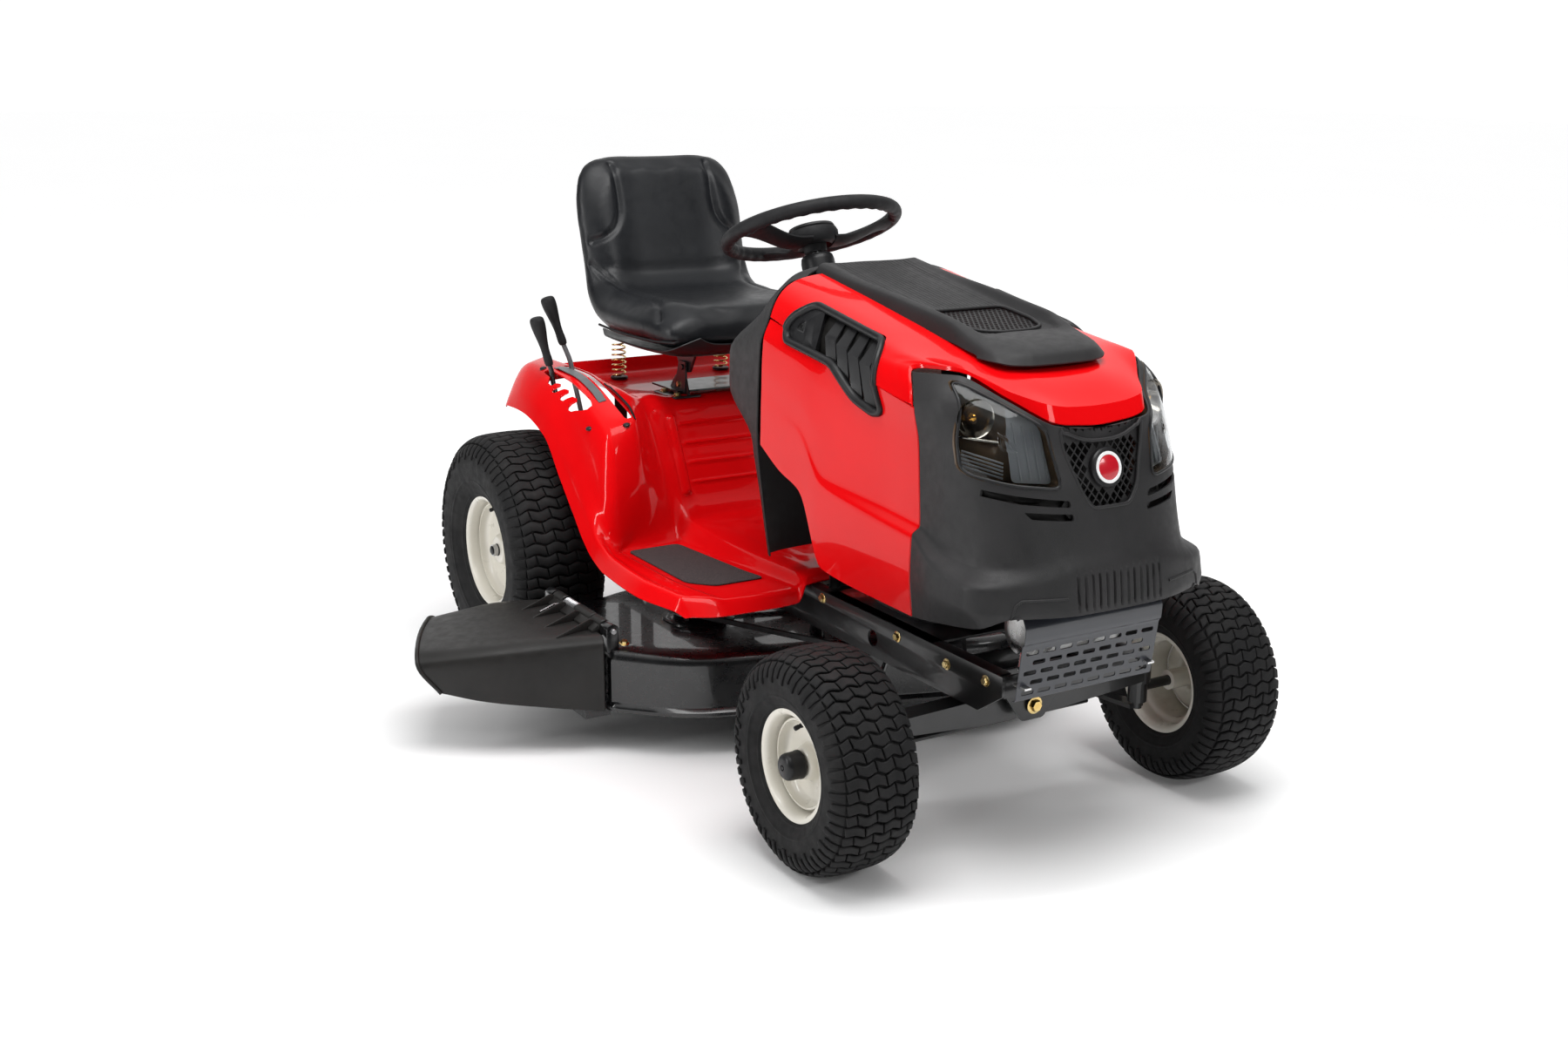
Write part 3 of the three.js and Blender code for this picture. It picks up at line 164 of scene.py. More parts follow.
def sheet_faces(rows, columns, start=0, flip=False, wrap=False):
    """Faces of a grid of points; with wrap, its last column joins its first."""
    faces = []
    for i in range(rows - 1):
        for j in range(columns if wrap else columns - 1):
            k = (j + 1) % columns
            face = [i * columns + j, (i + 1) * columns + j, (i + 1) * columns + k, i * columns + k]
            faces.append([start + v for v in (face[::-1] if flip else face)])
    return faces


def border(rows, columns):
    """The grid places round the edge of a grid, in order."""
    ring = [(0, j) for j in range(columns)] + [(i, columns - 1) for i in range(1, rows)]
    ring += [(rows - 1, j) for j in range(columns - 2, -1, -1)]
    return ring + [(i, 0) for i in range(rows - 2, 0, -1)]


def skin(grid, thickness):
    """A sheet with a rounded rim, behind a grid of points."""
    rows, columns = grid.shape[:2]
    inner = grid - normals(grid) * thickness
    ring = border(rows, columns)
    rim = []
    for i, j in ring:
        inward = grid[min(max(i, 1), rows - 2), min(max(j, 1), columns - 2)]
        away = grid[i, j] - inward
        away = away / max(np.linalg.norm(away), 1e-9)
        rim.append((grid[i, j] + inner[i, j]) / 2 + away * abs(thickness) * 0.35)
    size = rows * columns
    faces = sheet_faces(rows, columns) + sheet_faces(rows, columns, size, flip=True)
    count = len(ring)
    for k in range(count):
        m = (k + 1) % count
        a, b = ring[k][0] * columns + ring[k][1], ring[m][0] * columns + ring[m][1]
        faces.append([b, 2 * size + m, 2 * size + k, a][::-1])
        faces.append([2 * size + m, size + b, size + a, 2 * size + k][::-1])
    return np.vstack([grid.reshape(-1, 3), inner.reshape(-1, 3), rim]), faces


def thicken(points, directions, faces, thickness):
    """An open sheet given a thickness against its directions, and closed round every free edge."""
    points, directions = np.asarray(points, float), np.asarray(directions, float)
    count = len(points)
    edges = {(face[k - 1], face[k]) for face in faces for k in range(len(face))}
    walls = [[b, a, count + a, count + b] for a, b in edges if (b, a) not in edges]
    back = [[count + v for v in face[::-1]] for face in faces]
    return np.vstack([points, points - directions * thickness]), list(faces) + back + walls


def facing(onto, flat, towards):
    """The surface points of flat pairs, and directions square to the surface on the side named."""
    points = np.array([onto(a, b) for a, b in flat])
    step = 1.5
    first = np.array([onto(a + step, b) for a, b in flat]) - points
    second = np.array([onto(a, b + step) for a, b in flat]) - points
    n = np.cross(first, second)
    n /= np.maximum(np.linalg.norm(n, axis=1, keepdims=True), 1e-9)
    return points, n * np.where(n @ np.asarray(towards, float) < 0, -1, 1)[:, None]


def patch(outline, onto, towards, thickness, rings=6, lift=0.0):
    """A solid sheet of an outline's shape, laid on a surface."""
    outline = np.asarray(outline, float)
    middle, count = outline.mean(0), len(outline)
    flat = [middle + (p - middle) * s for s in np.linspace(1, 0.12, rings) for p in outline]
    points, n = facing(onto, flat, towards)
    faces = sheet_faces(rings, count, wrap=True)
    faces.append([(rings - 1) * count + k for k in range(count)])
    normal = np.cross(points[1] - points[0], points[count] - points[0])
    if normal @ n[0] > 0:
        faces = [face[::-1] for face in faces]
    return thicken(points + n * lift, n, faces, thickness)


CELL = [(0, 0), (0.25, 0), (0.5, 0), (0.75, 0), (1, 0), (1, 0.5), (1, 1), (0.75, 1), (0.5, 1), (0.25, 1),
        (0, 1), (0, 0.5)]


def perforated(onto, towards, low, high, cell, hole, wanted, thickness, square=False):
    """A sheet with holes: round ones in staggered rows, or square ones in straight rows.

    wanted(a, b) is 2 for a hole, 1 for plain sheet and 0 for none.
    """
    index, flat, faces = {}, [], []

    def corner(a, b):
        key = (round(a, 2), round(b, 2))
        if key not in index:
            index[key] = len(flat)
            flat.append(key)
        return index[key]

    for j in range(int((high[1] - low[1]) / cell[1])):
        for i in range(int((high[0] - low[0]) / cell[0])):
            a0, b0 = low[0] + (i + (0 if square else 0.5 * (j % 2))) * cell[0], low[1] + j * cell[1]
            a1, b1 = a0 + cell[0] / 2, b0 + cell[1] / 2
            state = wanted(a1, b1)
            if not state:
                continue
            outer = [corner(a0 + u * cell[0], b0 + v * cell[1]) for u, v in CELL]
            inner = []
            for u, v in CELL:
                da, db = (u - 0.5) * cell[0], (v - 0.5) * cell[1]
                reach = hole / (max(abs(da), abs(db)) if square else hypot(da, db))
                inner.append(corner(a1 + da * reach, b1 + db * reach))
            count = len(CELL)
            faces += [[outer[k - 1], outer[k], inner[k], inner[k - 1]] for k in range(count)]
            if state == 1:
                faces.append(inner)
    points, n = facing(onto, flat, towards)
    first = [points[v] for v in faces[0][:3]]
    if np.cross(first[1] - first[0], first[2] - first[0]) @ n[faces[0][0]] < 0:
        faces = [face[::-1] for face in faces]
    return thicken(points, n, faces, thickness)


class Surface:
    """A raw mesh that can be asked where a line square to one of the planes meets it."""

    def __init__(self, raw):
        self.tree = BVHTree.FromPolygons([tuple(p) for p in raw[0]], raw[1])

    def hit(self, start, direction):
        found = self.tree.ray_cast(Vector(start), Vector(direction))[0]
        if found is None:
            found = self.tree.find_nearest(Vector(start) + Vector(direction) * 2500)[0]
        return np.array(found)

    def side(self, y, z):
        return self.hit((3000, y, z), (-1, 0, 0))

    def front(self, x, z):
        return self.hit((x, -4000, z), (0, 1, 0))

    def top(self, x, y):
        return self.hit((x, y, 3000), (0, 0, -1))


def emboss(grid, height):
    """A grid pushed out along its normals by height(x, y, z)."""
    n = normals(grid)
    return grid + n * height(grid[..., 0], grid[..., 1], grid[..., 2])[..., None]


def ribbon(path, thickness):
    """A closed (radius, distance) outline of a sheet that follows a path."""
    path = np.asarray(path, float)
    along = np.gradient(path, axis=0)
    along /= np.linalg.norm(along, axis=1, keepdims=True)
    normal = np.stack([along[:, 1], -along[:, 0]], 1)
    return [tuple(p) for p in path] + [tuple(p) for p in (path + normal * thickness)[::-1]]


def across(axis):
    """Two directions at right angles to an axis and to each other."""
    axis = np.asarray(axis, float) / np.linalg.norm(axis)
    helper = [0, 0, 1] if abs(axis[2]) < 0.9 else [1, 0, 0]
    first = np.cross(helper, axis)
    first /= np.linalg.norm(first)
    return axis, first, np.cross(axis, first)


def turned(profile, centre, axis, sides):
    """A profile of (radius, distance along the axis) turned about it; it closes up or ends on the axis."""
    axis, u, v = across(axis)
    closed = profile[0][0] > 1e-6 or profile[-1][0] > 1e-6
    points, rows = [], []
    for r, h in profile:
        first = len(points)
        if r <= 1e-6:
            points.append(axis * h)
            rows.append([first] * sides)
            continue
        for k in range(sides):
            angle = tau * k / sides
            points.append(axis * h + r * (u * cos(angle) + v * sin(angle)))
        rows.append(list(range(first, first + sides)))
    pairs = list(zip(rows, rows[1:])) + ([(rows[-1], rows[0])] if closed else [])
    faces = []
    for low, high in pairs:
        for k in range(sides):
            m = (k + 1) % sides
            face = [low[k], low[m], high[m], high[k]]
            face = [x for n, x in enumerate(face) if x != face[n - 1]]
            if len(face) > 2:
                faces.append(face)
    return np.array(points) + centre, faces


def rod(start, end, radius, sides=24, chamfer=0.6):
    """A round bar from one point to another, with chamfered ends."""
    start, end = np.asarray(start, float), np.asarray(end, float)
    length = np.linalg.norm(end - start)
    cut = min(chamfer, length / 4, radius / 2)
    profile = [(0, 0), (radius - cut, 0), (radius, cut), (radius, length - cut), (radius - cut, length),
               (0, length)]
    return turned(profile, start, end - start, sides)


def sweep(path, radius, sides=12, closed=False, section=None):
    """A bar along a path; radius may be one number or one for each point, and section a unit outline."""
    path = np.asarray(path, float)
    count = len(path)
    radii = np.broadcast_to(radius, count)
    if section is None:
        section = [(cos(tau * k / sides), sin(tau * k / sides)) for k in range(sides)]
    size = len(section)
    following = np.roll(path, -1, 0) - np.roll(path, 1, 0)
    if not closed:
        following[0], following[-1] = path[1] - path[0], path[-1] - path[-2]
    _, u, _ = across(following[0])
    points = []
    for p, direction, r in zip(path, following, radii):
        direction = direction / np.linalg.norm(direction)
        u = u - direction * (u @ direction)
        u = u / np.linalg.norm(u)
        v = np.cross(direction, u)
        points += [p + r * (a * u + b * v) for a, b in section]
    faces = sheet_faces(count, size, wrap=True, flip=True)
    if closed:
        last = (count - 1) * size
        faces += [[last + k, last + (k + 1) % size, (k + 1) % size, k] for k in range(size)]
    else:
        faces.append(list(range(size))[::-1])
        faces.append([(count - 1) * size + k for k in range(size)])
    return np.array(points), faces


AXES = {"x": ([0, 1, 0], [0, 0, 1], [1, 0, 0]), "y": ([1, 0, 0], [0, 0, 1], [0, -1, 0]),
        "z": ([1, 0, 0], [0, 1, 0], [0, 0, 1])}


def prism(outline, axis, low, high):
    """A flat outline pushed along an axis. It is given as (y, z) for x, (x, z) for y and (x, y) for z."""
    first, second, third = (np.array(v, float) for v in AXES[axis])
    if axis == "y":
        low, high = -high, -low
    count = len(outline)
    points = [a * first + b * second + h * third for h in (low, high) for a, b in outline]
    faces = [list(range(count))[::-1], list(range(count, 2 * count))]
    faces += [[k, (k + 1) % count, count + (k + 1) % count, count + k] for k in range(count)]
    return np.array(points), faces


def between(front, back):
    """A solid whose two end faces are the loops given."""
    count = len(front)
    faces = [list(range(count)), list(range(count, 2 * count))[::-1]]
    faces += [[k, count + k, count + (k + 1) % count, (k + 1) % count] for k in range(count)]
    return np.array(front + back), faces


def block(low, high):
    corners = [(low[0], low[1]), (high[0], low[1]), (high[0], high[1]), (low[0], high[1])]
    return prism(corners, "z", low[2], high[2])


def rounded(outline, radius, steps=5):
    """An outline with its corners rounded off."""
    outline = np.asarray(outline, float)
    count = len(outline)
    found = []
    for k in range(count):
        before, here, after = outline[k - 1], outline[k], outline[(k + 1) % count]
        a, b = before - here, after - here
        reach = min(radius, np.linalg.norm(a) * 0.45, np.linalg.norm(b) * 0.45)
        a, b = here + a / np.linalg.norm(a) * reach, here + b / np.linalg.norm(b) * reach
        for t in np.linspace(0, 1, steps):
            found.append((1 - t) ** 2 * a + 2 * t * (1 - t) * here + t * t * b)
    return np.array(found)


def bolt(at, axis, across_flats=13):
    """A hexagon head on a washer, standing out along the axis."""
    at, axis = np.asarray(at, float), np.asarray(axis, float) / np.linalg.norm(axis)
    r = across_flats / 2 / cos(pi / 6)
    head = [(0, 0), (r, 0), (r, r * 0.55), (r * 0.86, r * 0.72), (0, r * 0.72)]
    washer = [(0, 0), (r * 1.45, 0), (r * 1.45, 1.2), (r * 1.35, WASHER), (0, WASHER)]
    return merge(turned(head, at + axis * WASHER, axis, 6), turned(washer, at, axis, 24))


# Pieces

BEVEL_SEGMENTS, BEVEL_ANGLE, SHARP_ANGLE = 2, radians(40), radians(38)


def to_mesh(name, raw):
    points, faces = raw
    mesh = bpy.data.meshes.new(name)
    mesh.from_pydata((DATUM + np.asarray(points, float) * MM).tolist(), [],
                     [list(map(int, f)) for f in faces])
    b = bmesh.new()
    b.from_mesh(mesh)
    bmesh.ops.remove_doubles(b, verts=b.verts, dist=1e-6)
    bmesh.ops.recalc_face_normals(b, faces=b.faces)
    b.to_mesh(mesh)
    b.free()
    obj = bpy.data.objects.new(name, mesh)
    bpy.context.scene.collection.objects.link(obj)
    return obj


def settle(obj):
    """Makes the result of an object's modifiers its mesh."""
    graph = bpy.context.evaluated_depsgraph_get()
    mesh = bpy.data.meshes.new_from_object(obj.evaluated_get(graph))
    old = obj.data
    obj.modifiers.clear()
    obj.data = mesh
    bpy.data.meshes.remove(old)


def bevel(obj, width):
    modifier = obj.modifiers.new("bevel", "BEVEL")
    modifier.width = width * MM
    modifier.segments = BEVEL_SEGMENTS
    modifier.limit_method = "ANGLE"
    modifier.angle_limit = BEVEL_ANGLE
    settle(obj)


def cut_away(obj, *raws):
    """Takes raw meshes out of an object."""
    tool = to_mesh("tool", merge(*raws))
    modifier = obj.modifiers.new("cut", "BOOLEAN")
    modifier.object = tool
    modifier.operation = "DIFFERENCE"
    modifier.solver = "EXACT"
    settle(obj)
    bpy.data.objects.remove(tool)


def piece(name, raw, material, body, replaces=(), edge=0.0, holes=()):
    """Makes a raw mesh into a finished piece that rides on a body."""
    obj = to_mesh(name, raw)
    if holes:
        cut_away(obj, *holes)
    if edge:
        bevel(obj, edge)
    obj.data.materials.clear()
    obj.data.materials.append(material)
    obj.data.shade_smooth()
    obj.data.set_sharp_from_angle(angle=SHARP_ANGLE)
    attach(obj, body)
    if replaces:
        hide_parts(*replaces)


def pair(name, raw, material, body, node=None, edge=0.0, holes=()):
    """Makes a raw mesh laid out on the left into a piece for each side; node leaves out the side too."""
    for end, side in SIDES.items():
        replaced = [f"{node}_{end}"] if node else []
        cuts = [on_side(hole, side) for hole in holes]
        piece(f"{name}_{end}", on_side(raw, side), material, body, replaced, edge, cuts)


# Materials


class Nodes:
    """A material's node tree, with short names for what is used here."""

    def __init__(self, name):
        self.material = bpy.data.materials.new(name)
        self.material.use_nodes = True
        self.tree = self.material.node_tree
        self.shader = self.tree.nodes["Principled BSDF"]

    def add(self, kind, links=None, **values):
        node = self.tree.nodes.new(kind)
        for key, value in values.items():
            if hasattr(node, key):
                setattr(node, key, value)
            else:
                node.inputs[key.replace("_", " ")].default_value = value
        for key, source in (links or {}).items():
            self.tree.links.new(source, node.inputs[key])
        return node

    def place(self):
        return self.add("ShaderNodeTexCoord").outputs["Object"]

    def noise(self, scale, detail=3, roughness=0.55):
        node = self.add("ShaderNodeTexNoise", {"Vector": self.place()}, Scale=scale, Detail=detail,
                        Roughness=roughness)
        return node.outputs["Fac"]

    def cells(self, scale):
        node = self.add("ShaderNodeTexVoronoi", {"Vector": self.place()}, Scale=scale)
        return node.outputs["Distance"]

    def ramp(self, source, low, high, from_low=0.3, from_high=0.7):
        node = self.add("ShaderNodeMapRange", {"Value": source})
        for key, value in zip(("From Min", "From Max", "To Min", "To Max"), (from_low, from_high, low, high)):
            node.inputs[key].default_value = value
        return node.outputs["Result"]

    def blend(self, source, first, second):
        node = self.add("ShaderNodeMix", data_type="RGBA")
        node.inputs["A"].default_value = (*first, 1)
        node.inputs["B"].default_value = (*second, 1)
        self.tree.links.new(source, node.inputs["Factor"])
        return node.outputs["Result"]

    def bump(self, source, distance, strength=1.0, under=None):
        links = {"Height": source}
        if under is not None:
            links["Normal"] = under
        return self.add("ShaderNodeBump", links, Distance=distance * MM, Strength=strength).outputs["Normal"]

    def set(self, **values):
        for key, value in values.items():
            socket = self.shader.inputs[key.replace("_", " ")]
            if isinstance(value, bpy.types.NodeSocket):
                self.tree.links.new(value, socket)
            else:
                socket.default_value = (*value, 1) if isinstance(value, tuple) and len(value) == 3 else value
        return self.material


def gloss_paint(name, dark, light, roughness=0.22, coat=1.0, peel=0.02, under=0.5):
    """Smooth paint under a clear coat, with a faint ripple and slow colour drift."""
    m = Nodes(name)
    drift = m.noise(3.0)
    return m.set(
        Base_Color=m.blend(m.ramp(drift, 0, 1), dark, light),
        Roughness=m.ramp(m.noise(40), roughness - 0.04, roughness + 0.05),
        Specular_IOR_Level=under, Coat_Weight=coat, Coat_Roughness=0.04, Coat_IOR=1.38,
        Normal=m.bump(m.noise(160, 2), peel),
    )


def moulded_plastic(name, dark, light, roughness=0.5, grain=0.09, scale=900):
    """Plastic with a fine spark-eroded grain."""
    m = Nodes(name)
    cells = m.cells(scale)
    return m.set(
        Base_Color=m.blend(m.ramp(m.noise(9), 0, 1), dark, light), Specular_IOR_Level=0.3,
        Roughness=m.ramp(m.noise(60), roughness - 0.06, roughness + 0.08),
        Normal=m.bump(m.noise(scale * 0.4, 4), grain * 0.8, under=m.bump(cells, grain)),
    )


def metal(name, dark, light, roughness, rough_spread=0.12, bump=0.03):
    """Bare or plated metal with a faint blotch."""
    m = Nodes(name)
    blotch = m.noise(30, 5)
    return m.set(
        Base_Color=m.blend(m.ramp(blotch, 0, 1), dark, light), Metallic=1.0,
        Roughness=m.ramp(blotch, roughness - rough_spread / 2, roughness + rough_spread / 2),
        Normal=m.bump(m.noise(240, 3), bump),
    )


def rubber(name, dark, light, roughness=0.72, grain=0.12):
    """Matt rubber with patches of dust."""
    m = Nodes(name)
    dust = m.ramp(m.noise(14, 5), 0, 1, 0.35, 0.75)
    return m.set(
        Base_Color=m.blend(dust, dark, light), Specular_IOR_Level=0.25,
        Roughness=m.ramp(m.noise(50), roughness - 0.08, roughness + 0.1),
        Normal=m.bump(m.noise(420, 4), grain),
    )


def vinyl_material():
    """Moulded vinyl: a soft leather grain with a satin shine."""
    m = Nodes("vinyl_skin")
    grain = m.bump(m.cells(520), 0.10, 0.8)
    wrinkle = m.bump(m.noise(240, 5, 0.6), 0.10, 0.8, under=grain)
    return m.set(
        Base_Color=m.blend(m.ramp(m.noise(7), 0, 1), (0.006, 0.0065, 0.008), (0.010, 0.011, 0.013)),
        Roughness=m.ramp(m.noise(45, 3), 0.34, 0.46), Specular_IOR_Level=0.32, Normal=wrinkle,
    )


def grit_material():
    """Anti-slip mat: dark grit with paler and rust-brown specks."""
    m = Nodes("grip_grit")
    speck = m.cells(900)
    tint = m.blend(m.ramp(m.noise(1400, 2), 0, 1, 0.5, 0.68), (0.020, 0.017, 0.018), (0.16, 0.12, 0.12))
    return m.set(
        Base_Color=tint, Roughness=0.93,
        Normal=m.bump(m.noise(1300, 3), 0.8, under=m.bump(speck, 0.5)),
    )


def clear_material():
    """Clear moulded polycarbonate with a faint grey tint."""
    m = Nodes("headlamp_clear_plastic")
    return m.set(
        Base_Color=(0.93, 0.95, 0.96), Roughness=m.ramp(m.noise(20), 0.01, 0.03),
        Transmission_Weight=1.0, IOR=1.3, Normal=m.bump(m.noise(14, 2), 0.05),
    )


RED = gloss_paint("red_enamel", (0.66, 0.0015, 0.003), (0.74, 0.004, 0.006), coat=0.5, under=0.03)
BLACK_GLOSS = gloss_paint("black_enamel", (0.003, 0.003, 0.0035), (0.006, 0.006, 0.007), 0.28, 0.7)
FRAME = gloss_paint("frame_enamel", (0.004, 0.004, 0.0045), (0.008, 0.008, 0.0085), 0.36, 0.4, 0.05)
CREAM = gloss_paint("rim_enamel", (0.66, 0.63, 0.55), (0.74, 0.71, 0.63), 0.3, 0.6, 0.03)
PLASTIC = moulded_plastic("grained_plastic", (0.014, 0.014, 0.0145), (0.021, 0.020, 0.021))
SMOOTH_PLASTIC = moulded_plastic("smooth_plastic", (0.008, 0.008, 0.009), (0.013, 0.013, 0.014), 0.36, 0.03)
CHUTE_PLASTIC = moulded_plastic("chute_plastic", (0.011, 0.0105, 0.010), (0.017, 0.016, 0.015), 0.42, 0.05,
                                500)
# Near-black sheets set just inside the hood's vent, grille and slot openings: painted shade for the dark
# inside of the hood.
SHADE_BLACK = moulded_plastic("painted_shade_plastic", (0.004, 0.004, 0.004), (0.008, 0.007, 0.006), 0.4, 0.03)
LAMP_DARK = moulded_plastic("lamp_reflector", (0.035, 0.022, 0.012), (0.08, 0.05, 0.028), 0.18, 0.02)
LAMP_CHROME = metal("lamp_chrome", (0.20, 0.18, 0.15), (0.30, 0.28, 0.25), 0.14, 0.06, bump=0.01)
BULB = metal("amber_bulb", (0.40, 0.20, 0.03), (0.60, 0.32, 0.07), 0.12, 0.06, bump=0.01)
LAMP_GREY = moulded_plastic("lamp_grey", (0.10, 0.105, 0.11), (0.15, 0.155, 0.16), 0.35, 0.03)
TYRE = rubber("tyre_tread_rubber", (0.006, 0.006, 0.0065), (0.013, 0.0125, 0.0125))
GRIP = rubber("grip_rubber", (0.008, 0.008, 0.009), (0.016, 0.016, 0.017), 0.6, 0.08)
VINYL = vinyl_material()
GRIT = grit_material()
CLEAR = clear_material()
BADGE_RED = gloss_paint("badge_enamel", (0.42, 0.004, 0.012), (0.52, 0.008, 0.02))
WHITE = gloss_paint("white_enamel", (0.80, 0.80, 0.80), (0.86, 0.86, 0.86), 0.25)
GUARD = gloss_paint("guard_enamel", (0.017, 0.019, 0.026), (0.025, 0.028, 0.036), 0.34, 0.4, 0.04)
CHROME = metal("chrome_plate", (0.80, 0.80, 0.80), (0.90, 0.90, 0.90), 0.10, 0.06, bump=0.01)
STEEL = metal("machined_steel", (0.40, 0.40, 0.41), (0.56, 0.56, 0.57), 0.34)
SILVER = metal("aluminised_steel", (0.55, 0.55, 0.55), (0.75, 0.75, 0.74), 0.3, 0.2, bump=0.06)
ZINC = metal("yellow_zinc", (0.62, 0.42, 0.14), (0.80, 0.66, 0.34), 0.28, 0.2)
CAST = metal("cast_alloy", (0.22, 0.22, 0.23), (0.33, 0.33, 0.34), 0.5, 0.2, bump=0.25)
TANK = moulded_plastic("tank_polymer", (0.52, 0.52, 0.48), (0.60, 0.59, 0.54), 0.45, 0.05)


# Fender and footboards. Each line runs from the centre outwards, and the lines go from the rear edge over the
# seat platform, down the riser and along the footboards.

FENDER = [
    [[0, 160, 590], [140, 160, 590], [188, 160, 590], [218, 158, 588], [258, 152, 586],
     [300, 130, 580], [345, 100, 575], [385, 97, 560], [392, 97, 548]],
    [[0, 155, 622], [140, 155, 622], [188, 155, 622], [218, 152, 622], [258, 146, 624],
     [300, 122, 636], [345, 95, 632], [386, 92, 572], [394, 92, 552]],
    [[0, 128, 590], [140, 128, 590], [188, 128, 592], [218, 126, 598], [258, 118, 622],
     [300, 90, 650], [345, 50, 648], [388, 20, 592], [398, 20, 556]],
    [[0, -60, 590], [140, -60, 590], [188, -60, 592], [218, -60, 598], [258, -80, 630],
     [300, -110, 650], [345, -130, 640], [390, -125, 566], [402, -125, 528]],
    [[0, -200, 597], [140, -200, 597], [186, -205, 607], [216, -215, 604], [258, -240, 616],
     [300, -290, 604], [348, -292, 592], [394, -225, 490], [408, -228, 446]],
    [[0, -223, 584], [140, -223, 584], [186, -236, 592], [216, -240, 588], [258, -284, 590],
     [300, -340, 580], [350, -344, 560], [398, -290, 440], [412, -292, 394]],
    [[0, -280, 488], [140, -280, 488], [186, -294, 490], [216, -304, 480], [258, -340, 480],
     [300, -370, 470], [354, -378, 456], [402, -350, 392], [418, -352, 352]],
    [[0, -335, 392], [140, -335, 392], [186, -352, 390], [218, -366, 346], [258, -374, 346],
     [318, -378, 346], [362, -396, 352], [406, -410, 358], [424, -412, 326]],
    [[0, -372, 374], [138, -372, 374], [184, -386, 370], [222, -390, 330], [262, -392, 330],
     [350, -394, 330], [370, -420, 338], [412, -470, 345], [432, -472, 318]],
    [[0, -580, 362], [126, -580, 362], [168, -586, 356], [204, -590, 330], [258, -600, 330],
     [350, -600, 330], [372, -610, 338], [420, -620, 342], [440, -620, 315]],
    [[0, -768, 354], [112, -770, 354], [152, -776, 350], [182, -784, 330], [240, -786, 330],
     [318, -776, 330], [354, -768, 336], [402, -744, 338], [417, -740, 312]],
    [[0, -790, 341], [112, -793, 341], [164, -798, 339], [184, -802, 308], [240, -804, 306],
     [300, -802, 306], [348, -799, 306], [394, -774, 305], [405, -766, 303]],
]
FENDER_ROWS = [5, 4, 8, 8, 5, 36, 36, 6, 10, 10, 5]
FENDER_SKIN = 3.2
RISER_RIB_TOP, RISER_RIB_PITCH = 546, 38


def fender_relief(x, y, z):
    """Ribs across the riser, two raised borders beside them and a raised strip along the tunnel;
    fender_surface adds the rounded bead along the outer edge.
    """
    on_riser = band(z, 418, 562, 8) * band(y, -345, -232, 6)
    ribs = np.maximum(0, np.cos(tau * (z - RISER_RIB_TOP) / RISER_RIB_PITCH)) ** 10 * 4
    borders = band(np.abs(x), 160, 173, 5) * 9
    tunnel = band(z, 352, 378, 6) * band(y, -700, -420, 20) * band(np.abs(x), -1, 110, 10)
    return on_riser * (ribs * band(np.abs(x), -1, 140, 8) + borders) + tunnel * 4


def fender_surface():
    grid = refine(both_sides(FENDER), FENDER_ROWS, 8)
    grid = emboss(grid, fender_relief)
    column = np.abs(np.linspace(-8, 8, grid.shape[1]))
    groove = -3.0 * np.exp(-(((column - 6.62) / 0.14) ** 2)) + 1.6 * np.exp(-(((column - 6.95) / 0.2) ** 2))
    row = np.linspace(0, 1, grid.shape[0])
    fade = ease(row, 0.1, 0.2) * (1 - ease(row, 0.93, 0.975))
    return grid + normals(grid) * (groove[None, :] * fade[:, None])[..., None]


def lift_gate():
    """The cut-out of the lift gate: a slot with a prong on its outer side for each deck height."""
    slot = [(-343, -34), (-343, -150), (-344, -179), (-342, -236), (-347, -256), (-356, -252), (-362, -236)]
    for y in (-192, -152, -112):
        slot += [(-370, y - 8), (-371, y + 4), (-367, y + 8), (-360, y - 8), (-357, y - 14), (-360, y + 6)]
    return prism(rounded(slot + [(-366, -96), (-366, -76), (-358, -70), (-356, -34)], 3), "z", 420, 720)


def fender():
    slots = [
        lift_gate(),
        prism(rounded([(-308, -328), (-292, -328), (-292, -26), (-308, -26)], 6), "z", 430, 720),
        prism(rounded([(236, -776), (256, -776), (256, -712), (236, -712)], 6), "z", 290, 370),
    ]
    piece("fender_shell", skin(fender_surface(), FENDER_SKIN), RED, "chassis", ["fender_body"],
          holes=slots)


def foot_mats():
    outline = rounded([(343, -402), (230, -400), (208, -640), (197, -698), (303, -698), (343, -652)], 14)
    pair("grip_mat", prism(outline, "z", 330.4, 333.2), GRIT, "chassis", "foot_mat", edge=0.8)


# Dash


DASH = [
    [[0, -700, 388], [110, -702, 388], [164, -708, 388], [203, -722, 388], [212, -741, 388]],
    [[0, -690, 500], [116, -692, 500], [182, -702, 500], [218, -718, 500], [227, -740, 500]],
    [[0, -672, 606], [120, -674, 606], [196, -690, 606], [232, -712, 606], [238, -738, 607]],
    [[0, -582, 702], [120, -584, 702], [198, -592, 702], [234, -632, 702], [240, -744, 702]],
    [[0, -580, 762], [120, -582, 762], [198, -592, 762], [234, -634, 762], [241, -752, 788]],
    [[0, -655, 862], [120, -662, 860], [188, -692, 856], [220, -724, 846], [228, -760, 842]],
    [[0, -694, 918], [100, -702, 914], [160, -724, 906], [188, -742, 898], [204, -760, 892]],
    [[0, -716, 931], [90, -722, 928], [140, -736, 922], [160, -746, 916], [172, -760, 910]],
    [[0, -742, 934], [90, -742, 932], [128, -746, 920], [140, -752, 914], [150, -762, 908]],
]
WHEEL_CENTRE = np.array([0, -538, 975])
WHEEL_TILT = 0.4
FACE_POINT, FACE_OUT = np.array([0, -622, 811]), (0.775, 0.632)
KEY_X, THROTTLE_X = 112, -112


def on_column(distance):
    """A point that far down the steering column from the wheel's centre."""
    return WHEEL_CENTRE - distance * np.array([0, sin(WHEEL_TILT), cos(WHEEL_TILT)])


